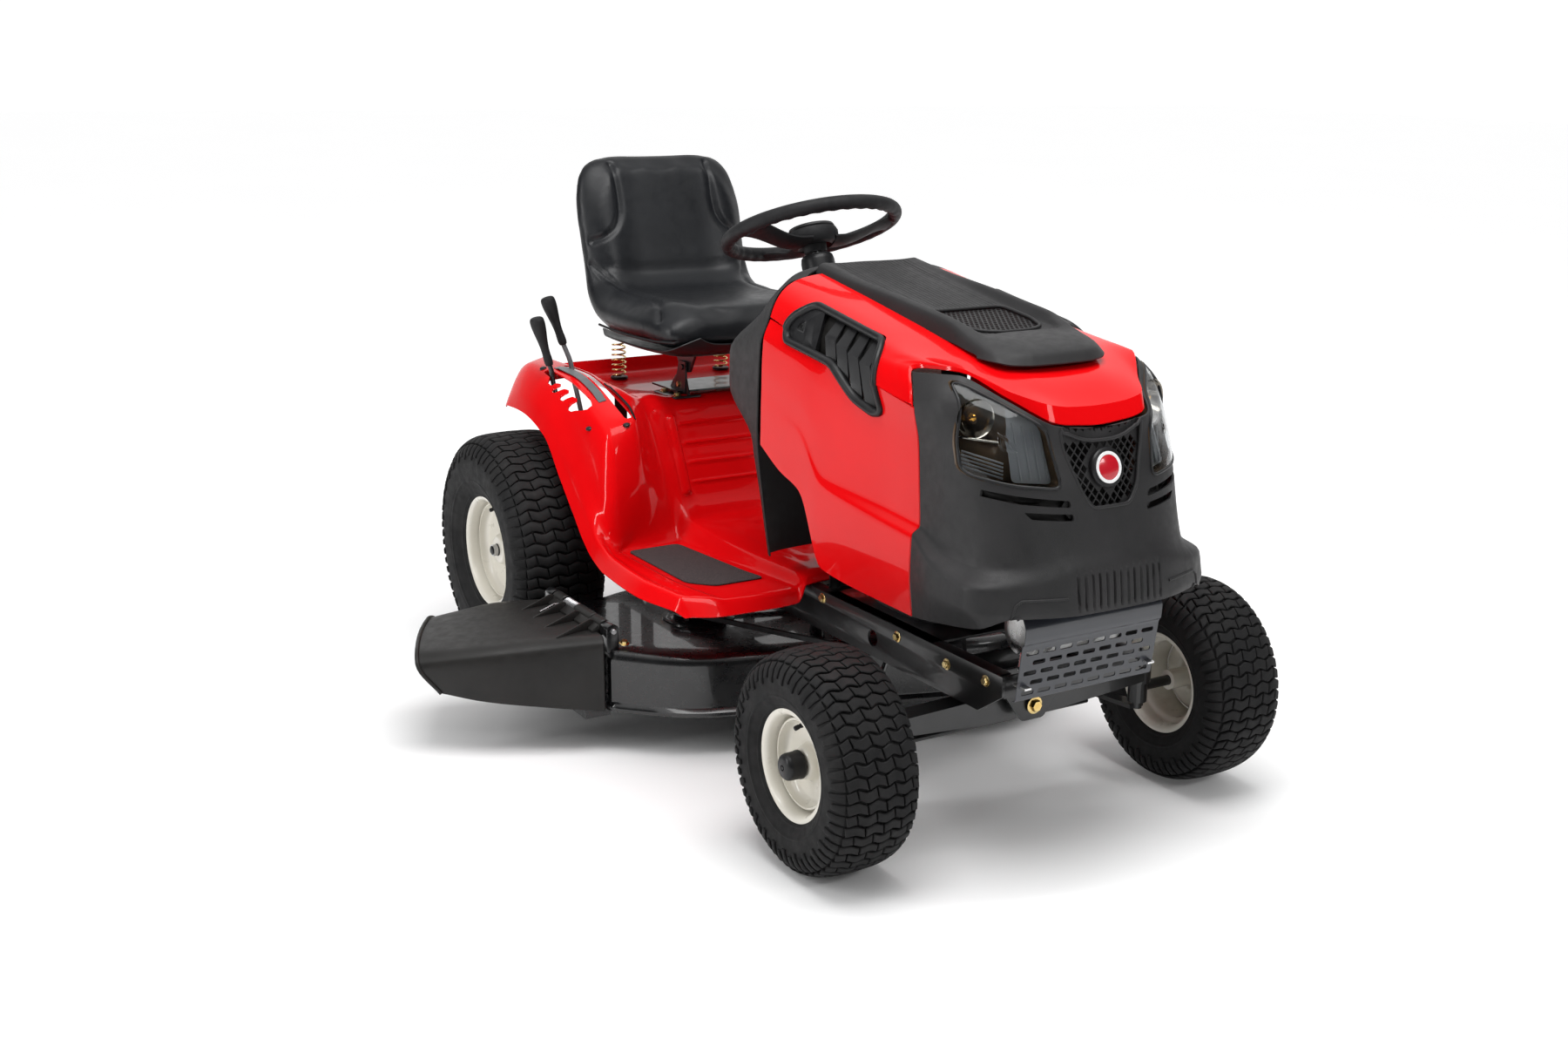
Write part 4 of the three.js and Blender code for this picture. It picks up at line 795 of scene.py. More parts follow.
def on_face(x, slope, out):
    """A point on the dash's control face: so far across it, along its slope and out of it."""
    return FACE_POINT + [x, out * FACE_OUT[0] - slope * FACE_OUT[1], out * FACE_OUT[1] + slope * FACE_OUT[0]]


def dash():
    holes = [
        rod(on_column(40), on_column(240), 40, sides=48),
        prism([(-117, 775), (-107, 775), (-107, 850), (-117, 850)], "y", -680, -560),
        rod(on_face(KEY_X, 0, -40), on_face(KEY_X, 0, 40), 9),
    ]
    shell = skin(refine(both_sides(DASH), 7, 7), 3.5)
    piece("dash_shell", shell, PLASTIC, "chassis", ["dash_panel"], holes=holes)
    ring = [(9.5, 0), (16, 0), (16, 2), (14, 3.4), (10.5, 3.4), (9.5, 2.4)]
    normal = np.array([0, *FACE_OUT])
    piece("key_bezel", turned(ring, on_face(KEY_X, 0, 1.5), normal, 32), CHROME, "chassis")
    plate = [(-9, 775), (9, 775), (9, 850), (-9, 850)]
    gate = [on_face(THROTTLE_X + x, (z - 811) / FACE_OUT[0], 2.0) for x, z in plate]
    frame_path = spline(np.array(gate + gate[:1]), 8)[:-1]
    piece("throttle_gate", sweep(frame_path, 2.2, closed=True), SMOOTH_PLASTIC, "chassis")


def column_boot():
    profile = [(15, -232), (40, -232), (41, -228), (41, -172), (39, -164), (34.5, -152), (34, -146)]
    profile += [(34 + (1.2 if k % 2 else 0), -140 + k * 4) for k in range(6)]
    profile += [(33.6, -112), (33, -66), (31, -57), (28, -54), (15, -54)]
    axis = on_column(-1) - WHEEL_CENTRE
    boot = turned(profile, WHEEL_CENTRE, axis, 56)
    piece("column_boot", boot, SMOOTH_PLASTIC, "chassis", ["steering_column"])


# Hood. Lines run back to front; the last but one is the crease above the front lip.


HOOD = [
    [[0, -767, 922], [0, -1000, 884], [0, -1200, 848], [0, -1330, 817], [0, -1413, 776], [0, -1424, 748]],
    [[60, -767, 922], [60, -1000, 884], [60, -1200, 848], [58, -1330, 817], [52, -1412, 778],
     [50, -1423, 751]],
    [[116, -767, 920], [118, -1000, 882], [118, -1200, 845], [110, -1322, 815], [94, -1409, 785],
     [92, -1420, 758]],
    [[160, -767, 914], [166, -1000, 876], [170, -1180, 842], [162, -1262, 828], [141, -1349, 804],
     [139, -1355, 792]],
    [[188, -767, 903], [194, -1000, 865], [199, -1160, 840], [196, -1230, 834], [185, -1284, 832],
     [184, -1289, 826]],
    [[207, -767, 886], [214, -1000, 849], [218, -1120, 829], [219, -1165, 825], [215, -1199, 825],
     [214, -1204, 820]],
    [[219, -767, 866], [228, -1000, 828], [232, -1130, 806], [233, -1190, 797], [231, -1219, 798],
     [230, -1225, 795]],
    [[226, -767, 847], [236, -1000, 807], [239, -1130, 785], [239, -1200, 774], [239, -1236, 770],
     [238, -1241, 767]],
]
PANEL_Y = [-752, -820, -889, -967, -1071, -1160, -1243]
PANEL_LOW = [609, 574, 551, 424, 415, 413, 412]
PANEL_STEPS = [0, 0.16, 0.36, 0.56, 0.61, 0.8, 1]
PANEL_REAR = [227, 240, 241, 240, 240, 239, 238]
PANEL_FRONT = [238, 228, 224, 221, 237, 239, 233]
VENT = [
    (-822, 838), (-838, 862), (-878, 886), (-1096, 853), (-1118, 828), (-1146, 736), (-1118, 728),
    (-1060, 744), (-985, 792), (-832, 812),
]


def hood_grid():
    stations = np.array(HOOD, float).swapaxes(0, 1)
    return refine(both_sides(stations), [8, 8, 8, 8, 4], 5, row_creases=(4,))


def panel_grid():
    rows = []
    for i, y in enumerate(PANEL_Y):
        top = 847 + (min(y, -767) + 767) * 0.1665 - 4
        blend = float(ease(-y, 850, 1200))
        line = []
        for j, step in enumerate(PANEL_STEPS):
            x = PANEL_REAR[j] * (1 - blend) + PANEL_FRONT[j] * blend
            lean = -16 * (1 - step) if i == 0 else 0
            line.append([x, y + lean, top + (PANEL_LOW[i] - top) * step])
        rows.append(line)
    return refine(rows, 8, [6, 8, 8, 6, 8, 8])


LOOP_POINTS = 140


def grid_raw(grid):
    return grid.reshape(-1, 3), sheet_faces(*grid.shape[:2])


HOOD_GRID = hood_grid()
PANEL_GRID = panel_grid()
BODY_SIDE = Surface(merge(grid_raw(HOOD_GRID), grid_raw(PANEL_GRID)))


def hood_skins():
    opening = prism(rounded(VENT, 14), "x", 140, 320)
    piece("hood_top_shell", skin(HOOD_GRID, 3.5), RED, "hood", ["hood_top"],
          holes=[opening, mirror(opening)])
    pair("hood_panel", skin(PANEL_GRID, 3.5), RED, "hood", "hood_side", holes=[opening])


def lengths(path):
    """How far along a path each of its points is."""
    return np.concatenate([[0], np.cumsum(np.linalg.norm(np.diff(path, axis=0), axis=1))])


def spaced(outline, count):
    """Evenly spaced points round a closed outline."""
    loop = np.vstack([outline, outline[:1]])
    length = lengths(loop)
    along = np.linspace(0, length[-1], count, endpoint=False)
    return np.stack([np.interp(along, length, loop[:, 0]), np.interp(along, length, loop[:, 1])], 1)


def loop_round(outline, onto):
    """Evenly spaced points round an outline, laid on a surface."""
    return np.array([onto(a, b) for a, b in spaced(np.asarray(outline, float), LOOP_POINTS)])


def inset(outline, by):
    """An outline drawn in towards its inside."""
    outline = np.asarray(outline, float)
    before, after = np.roll(outline, 1, 0), np.roll(outline, -1, 0)
    along = after - before
    along /= np.maximum(np.linalg.norm(along, axis=1, keepdims=True), 1e-9)
    area = np.sum(outline[:, 0] * after[:, 1] - after[:, 0] * outline[:, 1])
    inward = np.stack([-along[:, 1], along[:, 0]], 1) * (1 if area > 0 else -1)
    return outline + inward * by


def side_vents():
    outline = rounded(VENT, 14)
    edge = loop_round(inset(outline, 4), BODY_SIDE.side)
    section = [(cos(tau * k / 14) * 1.25, sin(tau * k / 14)) for k in range(14)]
    ring = sweep(edge, 6.5, closed=True, section=section)
    # A near-black sheet 20 mm inside the vent: painted shade for the dark inside of the hood.
    back = patch(inset(outline, 1), lambda y, z: BODY_SIDE.side(y, z) - [20, 0, 0], (1, 0, 0), 2)
    blank = [(-823, 837), (-839, 861), (-878, 884), (-908, 879), (-924, 801), (-834, 812)]
    plate = patch(rounded(blank, 5), lambda y, z: BODY_SIDE.side(y, z) - [3, 0, 0], (1, 0, 0), 8)
    vanes = []
    for i in range(5):
        y = -936 - i * 40
        top, knee, low = 868 - i * 6.6, 838 - i * 9, 800 - i * 12.5
        fold = np.array([
            [[y - 4, top + 6], [y - 14, knee], [y - 32, low - 14]],
            [[y - 27, top + 2], [y - 38, knee - 4], [y - 56, low - 30]],
        ])
        grid = [[BODY_SIDE.side(a, b) - [depth, 0, 0] for (a, b), depth in zip(line, deeps)]
                for line, deeps in zip(fold, ((13, 2, 2), (13, 8, 9)))]
        vanes.append(skin(refine(grid, 5, 6, column_creases=(1,)), 3))
    pair("side_vent_frame", merge(ring, plate), SMOOTH_PLASTIC, "hood", "side_vent")
    pair("side_vent_shade_back", back, SHADE_BLACK, "hood")
    pair("side_vent_vanes", merge(*vanes), SMOOTH_PLASTIC, "hood")


# Hood cap: lines run from the centre outwards over the raised border to the lower edge.


def cap_line(y, centre, crest, low):
    return [[0, y, centre], [60, y, centre], [86, y, centre + 1], [101, y, crest], [112, y, crest - 5],
            [118, y, low]]


CAP = [
    cap_line(-748, 935, 937, 920),
    cap_line(-850, 917, 923, 902),
    cap_line(-1000, 894, 908, 878),
    cap_line(-1100, 880, 896, 862),
    cap_line(-1160, 872, 888, 854),
    [[0, -1214, 868], [50, -1212, 868], [78, -1205, 869], [99, -1198, 878], [112, -1196, 872],
     [119, -1196, 850]],
    [[0, -1248, 866], [50, -1245, 866], [80, -1238, 866], [102, -1228, 867], [113, -1222, 861],
     [119, -1218, 846]],
    [[0, -1316, 849], [54, -1313, 849], [90, -1300, 849], [106, -1284, 849], [115, -1268, 847],
     [120, -1250, 841]],
    [[0, -1330, 832], [56, -1327, 832], [96, -1312, 833], [112, -1296, 836], [119, -1276, 837],
     [122, -1254, 838]],
]
CAP_ROWS = [8, 12, 8, 8, 6, 6, 6, 4]
CAP_RIB_PITCH = 8.8
CAP_VENT = [(-78, -1054), (78, -1054), (81, -1138), (66, -1182), (30, -1202), (-30, -1202), (-66, -1182),
            (-81, -1138)]


def cap_relief(x, y, _):
    """Fine ribs along the cap's sunken top."""
    field = band(np.abs(x), -1, 84, 4) * band(y, -1208, -758, 6)
    ribs = np.abs(np.sin(pi * x / CAP_RIB_PITCH)) ** 0.7 * 2.2
    return field * (ribs - 2.5 - 3 * ease(-y, 850, 1150))


def hood_cap():
    plain = refine(both_sides(CAP), CAP_ROWS, [4, 4, 5, 13, 28] + [28, 13, 5, 4, 4])
    grid = emboss(plain, cap_relief)
    opening = rounded(CAP_VENT, 16)
    piece("hood_cap_shell", skin(grid, 4), PLASTIC, "hood", ["hood_cap"],
          holes=[prism(opening, "z", 820, 950)])
    top = Surface(grid_raw(plain))

    def onto(x, y):
        return top.top(x, y) - [0, 0, 5]

    def wanted(x, y):
        return 2 if abs(x) < 84 and y > -1209 else 0

    mesh = perforated(onto, (0, 0, 1), (-92, -1214), (92, -1046), (9.8, 8.6), 3.7, wanted, 3)
    piece("hood_cap_vent", mesh, PLASTIC, "hood")
    rim = loop_round(inset(opening, -1), lambda x, y: top.top(x, y) - [0, 0, 2])
    piece("hood_cap_vent_rim", sweep(rim, 3.4, closed=True), PLASTIC, "hood")


# Front bezel: rows run from the top edge down, each from the centre out to the joint with the side panels.


BEZEL = [
    [[0, -1429, 743], [46, -1429, 746], [95, -1427, 753], [141, -1361, 787], [188, -1295, 821],
     [204, -1263, 820], [218, -1210, 816]],
    [[0, -1436, 724], [48, -1434, 726], [98, -1428, 731], [166, -1378, 752], [212, -1325, 775],
     [231, -1290, 776], [238, -1245, 768]],
    [[0, -1446, 687], [46, -1444, 688], [94, -1440, 690], [165, -1408, 695], [212, -1350, 703],
     [226, -1300, 705], [227, -1247, 705]],
    [[0, -1457, 655], [46, -1456, 655], [92, -1451, 655], [160, -1425, 655], [208, -1365, 654],
     [224, -1305, 652], [224, -1247, 650]],
    [[0, -1469, 605], [46, -1467, 605], [92, -1462, 604], [160, -1437, 602], [208, -1375, 600],
     [222, -1310, 600], [222, -1247, 600]],
    [[0, -1483, 556], [46, -1481, 556], [93, -1475, 555], [160, -1453, 542], [213, -1388, 534],
     [225, -1315, 545], [221, -1247, 567]],
    [[0, -1495, 525], [46, -1493, 525], [94, -1489, 524], [182, -1466, 508], [247, -1402, 504],
     [251, -1325, 522], [237, -1247, 552]],
    [[0, -1502, 468], [46, -1501, 468], [92, -1498, 468], [190, -1468, 468], [248, -1412, 470],
     [255, -1330, 474], [239, -1248, 482]],
    [[0, -1502, 460], [46, -1501, 460], [92, -1498, 460], [188, -1466, 460], [232, -1430, 442],
     [246, -1335, 428], [234, -1250, 413]],
]
BUMPER_RIB_PITCH = 14.2
LENS = [(201, 817), (217, 732), (216, 675), (167, 663), (93, 656), (108, 750), (150, 783)]
GRILLE = [(-84, 752), (-80, 716), (-58, 652), (-38, 622), (38, 622), (58, 652), (80, 716), (84, 752),
          (40, 744), (-40, 744)]
LATTICE = (0.625, 0.767)
BADGE = (0, 681)
BADGE_RADIUS = 32
SLOT_BACKING = [(62, 592), (150, 596), (218, 632), (219, 661), (164, 653), (62, 645)]
BUMPER_TRIM = [(106, 489), (150, 490), (180, 490), (190, 482), (197, 456), (203, 438)]
UPPER_SLOT = [(80, 626), (160, 635), (215, 646), (216, 656), (164, 648), (81, 637)]
LOWER_SLOT = [(77, 605), (145, 611), (156, 623), (77, 616)]


def bezel_relief(x, _, z):
    """The bumper's upright grooves."""
    grooves = np.maximum(0, np.cos(tau * x / BUMPER_RIB_PITCH)) ** 3
    return -grooves * 4.5 * band(z, 470, 522, 5) * band(np.abs(x), -1, 93, 3)


BEZEL_GRID = refine(both_sides(BEZEL), [4, 5, 5, 6, 6, 6, 12, 3],
                    [6, 6, 8, 10, 24, 24] + [24, 24, 10, 8, 6, 6])
BEZEL_SURFACE = Surface(grid_raw(BEZEL_GRID))


def bezel():
    lens = prism(rounded(LENS, 9), "y", -1520, -1180)
    slots = [prism(rounded(outline, 4), "y", -1520, -1380) for outline in (UPPER_SLOT, LOWER_SLOT)]
    grille = prism(rounded(GRILLE, 10), "y", -1520, -1400)
    openings = [lens, *slots, mirror(lens), *[mirror(slot) for slot in slots], grille]
    piece("bezel_shell", skin(emboss(BEZEL_GRID, bezel_relief), 4), PLASTIC, "hood",
          ["front_bezel"], holes=openings)
    trim = [recessed(x, z, 0) for x, z in spline(np.array(BUMPER_TRIM, float), 5, creases=(2, 3))]
    trim = sweep(trim, 2.4, 10)
    piece("bumper_trim", merge(trim, mirror(trim)), PLASTIC, "hood")


def recessed(x, z, by):
    return BEZEL_SURFACE.front(x, z) + [0, by, 0]


def inside(outline, a, b):
    found = False
    for k, (c, d) in enumerate(outline):
        e, f = outline[k - 1]
        if (d > b) != (f > b) and a < (e - c) * (b - d) / (f - d) + c:
            found = not found
    return found


def grille():
    outline = rounded(GRILLE, 10)
    field = inset(outline, 3)

    def unfold(u, v):
        return (u + v) * LATTICE[0], (u - v) * LATTICE[1]

    def onto(u, v):
        return recessed(*unfold(u, v), 7)

    def wanted(u, v):
        x, z = unfold(u, v)
        if not (-90 < x < 90 and 614 < z < 760):
            return 0
        clear = hypot(x - BADGE[0], z - BADGE[1]) > BADGE_RADIUS + 5
        return 2 if clear and z < 726 and inside(field, x, z) else 1

    mesh = perforated(onto, (0, -1, 0), (321, -579), (579, -321), (12, 12), 4.9, wanted, 3, square=True)
    piece("grille_mesh", mesh, PLASTIC, "hood")
    lip = loop_round(inset(outline, -1), lambda x, z: recessed(x, z, 1.5))
    piece("grille_surround", sweep(lip, 3.2, closed=True), PLASTIC, "hood")
    centre = recessed(*BADGE, 0)
    axis = np.array([0, -1, 0.27])
    bezel_ring = [(0, -8), (32, -8), (33, 1), (31, 4), (27, 4.6), (26.5, 2.6), (0, 2.6)]
    piece("badge_bezel", turned(bezel_ring, centre, axis, 64), SMOOTH_PLASTIC, "hood")
    white = [(20.5, 2), (26, 2), (26, 4.2), (25.4, 4.8), (21, 4.8), (20.5, 4.2)]
    piece("badge_ring", turned(white, centre, axis, 64), WHITE, "hood")
    red = [(0, 2), (20.4, 2), (20.4, 4.2), (19, 4.9), (0, 5.6)]
    piece("badge_disc", turned(red, centre, axis, 64), BADGE_RED, "hood")
    # Near-black boards behind the bumper slots and the grille: painted shade for the dark inside of the hood.
    low = patch(rounded(SLOT_BACKING, 6), lambda x, z: recessed(x, z, 16), (0, -1, 0), 3, 5)
    back = merge(block((-84, -1404, 562), (84, -1396, 748)), low, mirror(low))
    piece("grille_shade_backing", back, SHADE_BLACK, "hood")


# Headlamps


def headlamps():
    outline = rounded(LENS, 16)
    cover = patch(inset(outline, 1.5), BEZEL_SURFACE.front, (0, -1, 0), 2.4, 10, 1.0)
    bead = sweep(loop_round(inset(outline, 0.5), lambda x, z: recessed(x, z, -0.5)), 2.6, closed=True)
    back = patch(inset(outline, -3), lambda x, z: recessed(x, z, 58), (0, -1, 0), 3, 8)
    edge = inset(outline, -1)
    walls = np.array([[recessed(x, z, d) for x, z in edge] for d in (0, 30, 58)])
    away = walls - walls.mean(axis=(0, 1))
    away[..., 1] = 0
    away /= np.linalg.norm(away, axis=2, keepdims=True)
    tube = thicken(walls.reshape(-1, 3), -away.reshape(-1, 3), sheet_faces(3, len(edge), wrap=True), 2)
    panel = patch(rounded([(97, 661), (158, 665), (151, 742), (140, 776), (108, 750)], 8),
                  lambda x, z: recessed(x, z, 20), (0, -1, 0), 3, 5)
    grooves = [sweep([recessed(108 + k * 11, 742 + k * 4, 19), recessed(103 + k * 14, 668, 19)], 1.8)
               for k in range(4)]
    ribs = [sweep([recessed(162, 668 + k * 6, 34 - k * 2), recessed(206, 684 + k * 6, 34 - k * 2)], 1.6)
            for k in range(5)]
    bowl_at = recessed(181, 758, 40)
    axis = np.array([0.25, -1, 0.05])
    bowl_profile = [(4, 17), (15, 11), (25, 1), (31, -14), (32, -18), (30, -16), (24, -2), (14, 8), (4, 14)]
    bowl = turned(bowl_profile, bowl_at, -axis, 48)
    bulb = turned([(0, -12), (5, -10), (7.5, -4), (7.5, 3), (5, 9), (5, 16), (0, 16)], bowl_at, -axis, 32)
    shelf = sweep(np.array([recessed(x, 722 + (x - 150) * 0.12, 26) for x in np.linspace(158, 208, 8)]), 2.2)
    pair("headlamp_cover", cover, CLEAR, "hood", "headlamp_lens")
    pair("headlamp_bead", bead, SMOOTH_PLASTIC, "hood")
    pair("headlamp_bucket", merge(back, tube), LAMP_DARK, "hood")
    pair("headlamp_panel", merge(panel, *grooves), LAMP_GREY, "hood")
    pair("headlamp_ribs", merge(*ribs), LAMP_GREY, "hood")
    pair("headlamp_bowl", merge(bowl, shelf), LAMP_CHROME, "hood")
    pair("headlamp_bulb", bulb, BULB, "hood")


# Wheels


WHEELS = {
    "front": dict(hub=FRONT_HUB, radius=190.5, half=78.5, rim=88, pitch=21, blocks=4, dish=-22, cap=26,
                  shaft=9.5),
    "rear": dict(hub=REAR_HUB, radius=254, half=101.5, rim=114, pitch=24, blocks=4, dish=-34, cap=30,
                 shaft=12.7),
}
TREAD, GROOVE = 6.5, 4.2


def tyre_half(w):
    """The tyre's section from the middle of the tread to the bead, as (radius, distance from the middle)."""
    base, h, rim = w["radius"] - TREAD, w["half"], w["rim"]
    deep = base - rim
    points = [
        (base, 0), (base - 1, h * 0.36), (base - 4, h * 0.62), (base - 0.12 * deep, h * 0.83),
        (base - 0.24 * deep, h * 0.945), (base - 0.42 * deep, h * 0.995), (base - 0.6 * deep, h * 0.99),
        (rim + 0.24 * deep, h * 0.93), (rim + 0.14 * deep, h * 0.86), (rim + 7, h * 0.80),
        (rim + 2, h * 0.70),
    ]
    return spline(points, 6)


def on_tyre(w):
    """Turns (angle, distance along the section, height) into a point on a tyre whose axle is the X axis."""
    half = tyre_half(w)
    length = lengths(half)
    along = np.gradient(half, length, axis=0)

    def place(angle, t, height):
        s = abs(t)
        r, x = np.interp(s, length, half[:, 0]), np.interp(s, length, half[:, 1])
        dr, dx = np.interp(s, length, along[:, 0]), np.interp(s, length, along[:, 1])
        r, x = r + dx * height, x - dr * height
        return np.array([x if t >= 0 else -x, r * cos(angle), r * sin(angle)])

    return place


def block_on(place, lines, height, edge=1.3):
    """A tread block: lines are rows of (angle, distance along the section). Its top edges are rounded off."""
    rows, columns = len(lines), len(lines[0])
    points, faces = [], sheet_faces(rows, columns)
    for i, line in enumerate(lines):
        for j, (angle, t) in enumerate(line):
            on_edge = i in (0, rows - 1) or j in (0, columns - 1)
            points.append(place(angle, t, height - (edge if on_edge else 0)))
    ring = border(rows, columns)
    start = len(points)
    points += [place(lines[i][j][0], lines[i][j][1], -1.5) for i, j in ring]
    count = len(ring)
    for k in range(count):
        m = (k + 1) % count
        a, b = ring[k][0] * columns + ring[k][1], ring[m][0] * columns + ring[m][1]
        faces.append([a, b, start + m, start + k])
    faces.append([start + k for k in range(count)])
    return np.array(points), faces


def tread(w):
    """Rows of blocks across the tyre, parted by wavy grooves, with lugs that run down the shoulders."""
    place = on_tyre(w)
    count = 2 * round(pi * w["radius"] / w["pitch"])
    step = tau / count
    edge = w["half"] * 0.85
    wide = 2 * edge / w["blocks"]
    groove, gap = GROOVE / w["radius"], 2.6
    raws = []
    for k in range(count):
        shift = wide / 2 * (k % 2)
        starts = [c * wide + shift for c in range(w["blocks"])]
        cuts = [-edge] + [start - edge for start in starts if start > 0] + [edge]
        for a, b in zip(cuts, cuts[1:]):
            across_block = np.linspace(a + gap / 2, b - gap / 2, 9 if b - a > wide * 0.7 else 5)
            across_block = [across_block[0], across_block[0] + 1.3, *across_block[1:-1],
                            across_block[-1] - 1.3, across_block[-1]]
            lines = []
            for u in (0, 0.1, 0.5, 0.9, 1):
                line = []
                for t in across_block:
                    wave = 0.13 * step * cos(tau * (t + edge) / wide)
                    line.append(((k + u) * step + groove * (0.5 - u) + wave, t + (u - 0.5) * 3))
                lines.append(line)
            raws.append(block_on(place, lines, TREAD))
        for side in (1, -1):
            raws.append(block_on(place, shoulder_lug(k, step, side, edge), 3.8, 1.0))
    return merge(*raws)


def shoulder_lug(k, step, side, edge):
    """The outline of a lug that carries a row of the tread down the shoulder and narrows to a blunt point."""
    reach = edge + (34 if k % 2 else 26)
    lines = []
    for u in (0, 0.14, 0.86, 1):
        line = []
        for v in (0, 0.06, 0.4, 0.8, 0.94, 1):
            narrow = 0.84 - 0.34 * v
            line.append(((k + 0.62 + (u - 0.5) * narrow) * step, side * (edge + 1.5 + v * (reach - edge))))
        lines.append(line)
    return lines


def tyre_carcass(w):
    """The tyre without its tread, with two raised rings on each side."""
    half = tyre_half(w)
    ring_at = w["rim"] + 0.30 * (w["radius"] - w["rim"])
    outer = []
    for r, x in spline(half, 3):
        rings = 1.6 * float(np.exp(-(((r - ring_at) / 2.2) ** 2)))
        rings += 1.2 * float(np.exp(-(((r - w["rim"] - 12) / 1.8) ** 2)))
        outer.append((r, x + rings))
    wall = 6
    inner = [(r - wall if x < w["half"] * 0.7 and r > w["rim"] + 30 else r, max(x - wall, 0))
             for r, x in half[::4]]
    mirrored = [(r, -x) for r, x in inner[1:]] + [(r, -x) for r, x in outer[::-1][:-1]]
    return turned(outer + inner[::-1] + mirrored, ORIGIN, X_AXIS, 120)


def rim_barrel(w):
    """The outer ring of a rim, from one bead seat to the other."""
    r, bead = w["rim"], w["half"] * 0.70
    path = [(r + 9, bead - 1), (r + 10, bead + 3), (r + 8, bead + 5.5), (r + 3, bead + 5), (r - 1, bead + 1),
            (r - 2.5, bead - 6), (r - 4, bead - 20), (r - 12, bead - 28), (r - 13, 0), (r - 12, -bead + 28),
            (r - 4, -bead + 20), (r - 2.5, -bead + 6), (r - 1, -bead - 1), (r + 3, -bead - 5),
            (r + 8, -bead - 5.5), (r + 10, -bead - 3), (r + 9, -bead + 1)]
    return turned(ribbon(spline(path, 4), 3.0), ORIGIN, X_AXIS, 96)


def rim_disc(w):
    """The dished centre of a rim, its outer face towards -X."""
    r, d, hub = w["rim"], w["dish"], w["cap"]
    path = [(r - 11.5, d - 22), (r - 13, d - 12), (r - 18, d - 4), (r - 28, d), (hub + 14, d + 1),
            (hub + 6, d - 1), (hub + 2, d - 6), (hub - 1, d - 14), (hub - 4, d - 17),
            (w["shaft"] + 5, d - 17), (w["shaft"] + 0.8, d - 17)]
    disc = turned(ribbon(spline(path, 4), -3.6), ORIGIN, X_AXIS, 96)
    tube = [(w["shaft"] + 0.6, d - 16), (w["shaft"] + 9, d - 16), (w["shaft"] + 9, w["half"] * 0.5),
            (w["shaft"] + 0.6, w["half"] * 0.5)]
    return merge(disc, turned(tube, ORIGIN, X_AXIS, 48))


def valve_stem(w):
    base = np.array([w["dish"] - 8, 0, w["rim"] - 17])
    tip = base + [-26, 0, -7]
    axis = tip - base
    stem = [(0, -3), (6.5, -3), (6.8, 2), (4.2, 5), (4, 16), (3.2, 17), (3.2, 19), (4.1, 19.5), (4.1, 27),
            (3, 28), (0, 28)]
    return turned(stem, base, axis, 24)


def wheels():
    for kind, w in WHEELS.items():
        carcass, lugs = tyre_carcass(w), tread(w)
        barrel, disc, stem = rim_barrel(w), rim_disc(w), valve_stem(w)
        for name, side in SIDES.items():
            at = np.array([0, w["hub"][1], w["radius"]]) + [-abs(w["hub"][0]), 0, 0]
            body = f"{kind}_wheel_{name}"

            def put(part, raw, material, nodes=()):
                raw = moved_by(raw, at)
                raw = raw if side == RIGHT else mirror(raw)
                piece(f"{kind}_{part}_{name}", raw, material, body, nodes)

            put("tyre_body", carcass, TYRE, [f"{kind}_tyre_{name}"])
            put("tyre_tread", lugs, TYRE)
            put("rim_barrel", barrel, CREAM, [f"{kind}_rim_{name}"])
            put("rim_centre", disc, CREAM)
            put("valve_stem", stem, GRIP)
            if kind == "front":
                cap = [(0, -80), (3, -80), (3.4, -78), (4.6, -77.8), (5.2, -79.8), (14, -79), (19, -77),
                       (22, -73.5), (23, -69), (23.4, -52), (24.5, -50), (24.5, -47), (0, -47)]
                put("hub_cap_face", turned(cap, ORIGIN, X_AXIS, 64), SMOOTH_PLASTIC,
                    [f"hub_cap_{name}"])
            else:
                cap = [(0, -70), (6, -70), (9.5, -68), (10.5, -64), (11, -58), (13.4, -57), (13.4, -54),
                       (0, -54)]
                put("axle_end_cap", turned(cap, ORIGIN, X_AXIS, 48), SMOOTH_PLASTIC)


# Steering wheel, laid out flat about its centre and then tilted


WHEEL_RADIUS, WHEEL_TUBE = 167, 14
SPOKES = (192, 348, 90)


def wheel_rim():
    """The rim, scalloped for the fingers along its inner underside."""
    around, section = 216, 20
    grid = np.zeros((around, section, 3))
    for i in range(around):
        a = tau * i / around
        scallop = 0.5 + 0.5 * cos(36 * a)
        for j in range(section):
            b = tau * j / section
            grip = max(0.0, cos(b - radians(215))) ** 1.5
            r = WHEEL_TUBE - 2.6 * grip * scallop
            reach = WHEEL_RADIUS + r * cos(b)
            grid[i, j] = [reach * cos(a), reach * sin(a), r * sin(b)]
    faces = sheet_faces(around, section, wrap=True)
    last = (around - 1) * section
    faces += [[last + j, j, (j + 1) % section, last + (j + 1) % section] for j in range(section)]
    return grid.reshape(-1, 3), faces


def wheel_spoke(angle, broad):
    """A dished spoke with raised edges, from the hub out to the rim."""
    rows = []
    for t in np.linspace(0, 1, 16):
        reach = 34 + t * (WHEEL_RADIUS - 40)
        wide = broad * (1.0 - 0.28 * sin(pi * t))
        sink = -30 + 24 * float(ease(t, 0.15, 1))
        rows.append([[reach, wide * v, sink + 5.5 * abs(v) ** 3 - 3.5 * (1 - v * v)]
                     for v in np.linspace(-1, 1, 12)])
    return turned_by(skin(np.array(rows), 5), Matrix.Rotation(radians(angle), 3, "Z"))


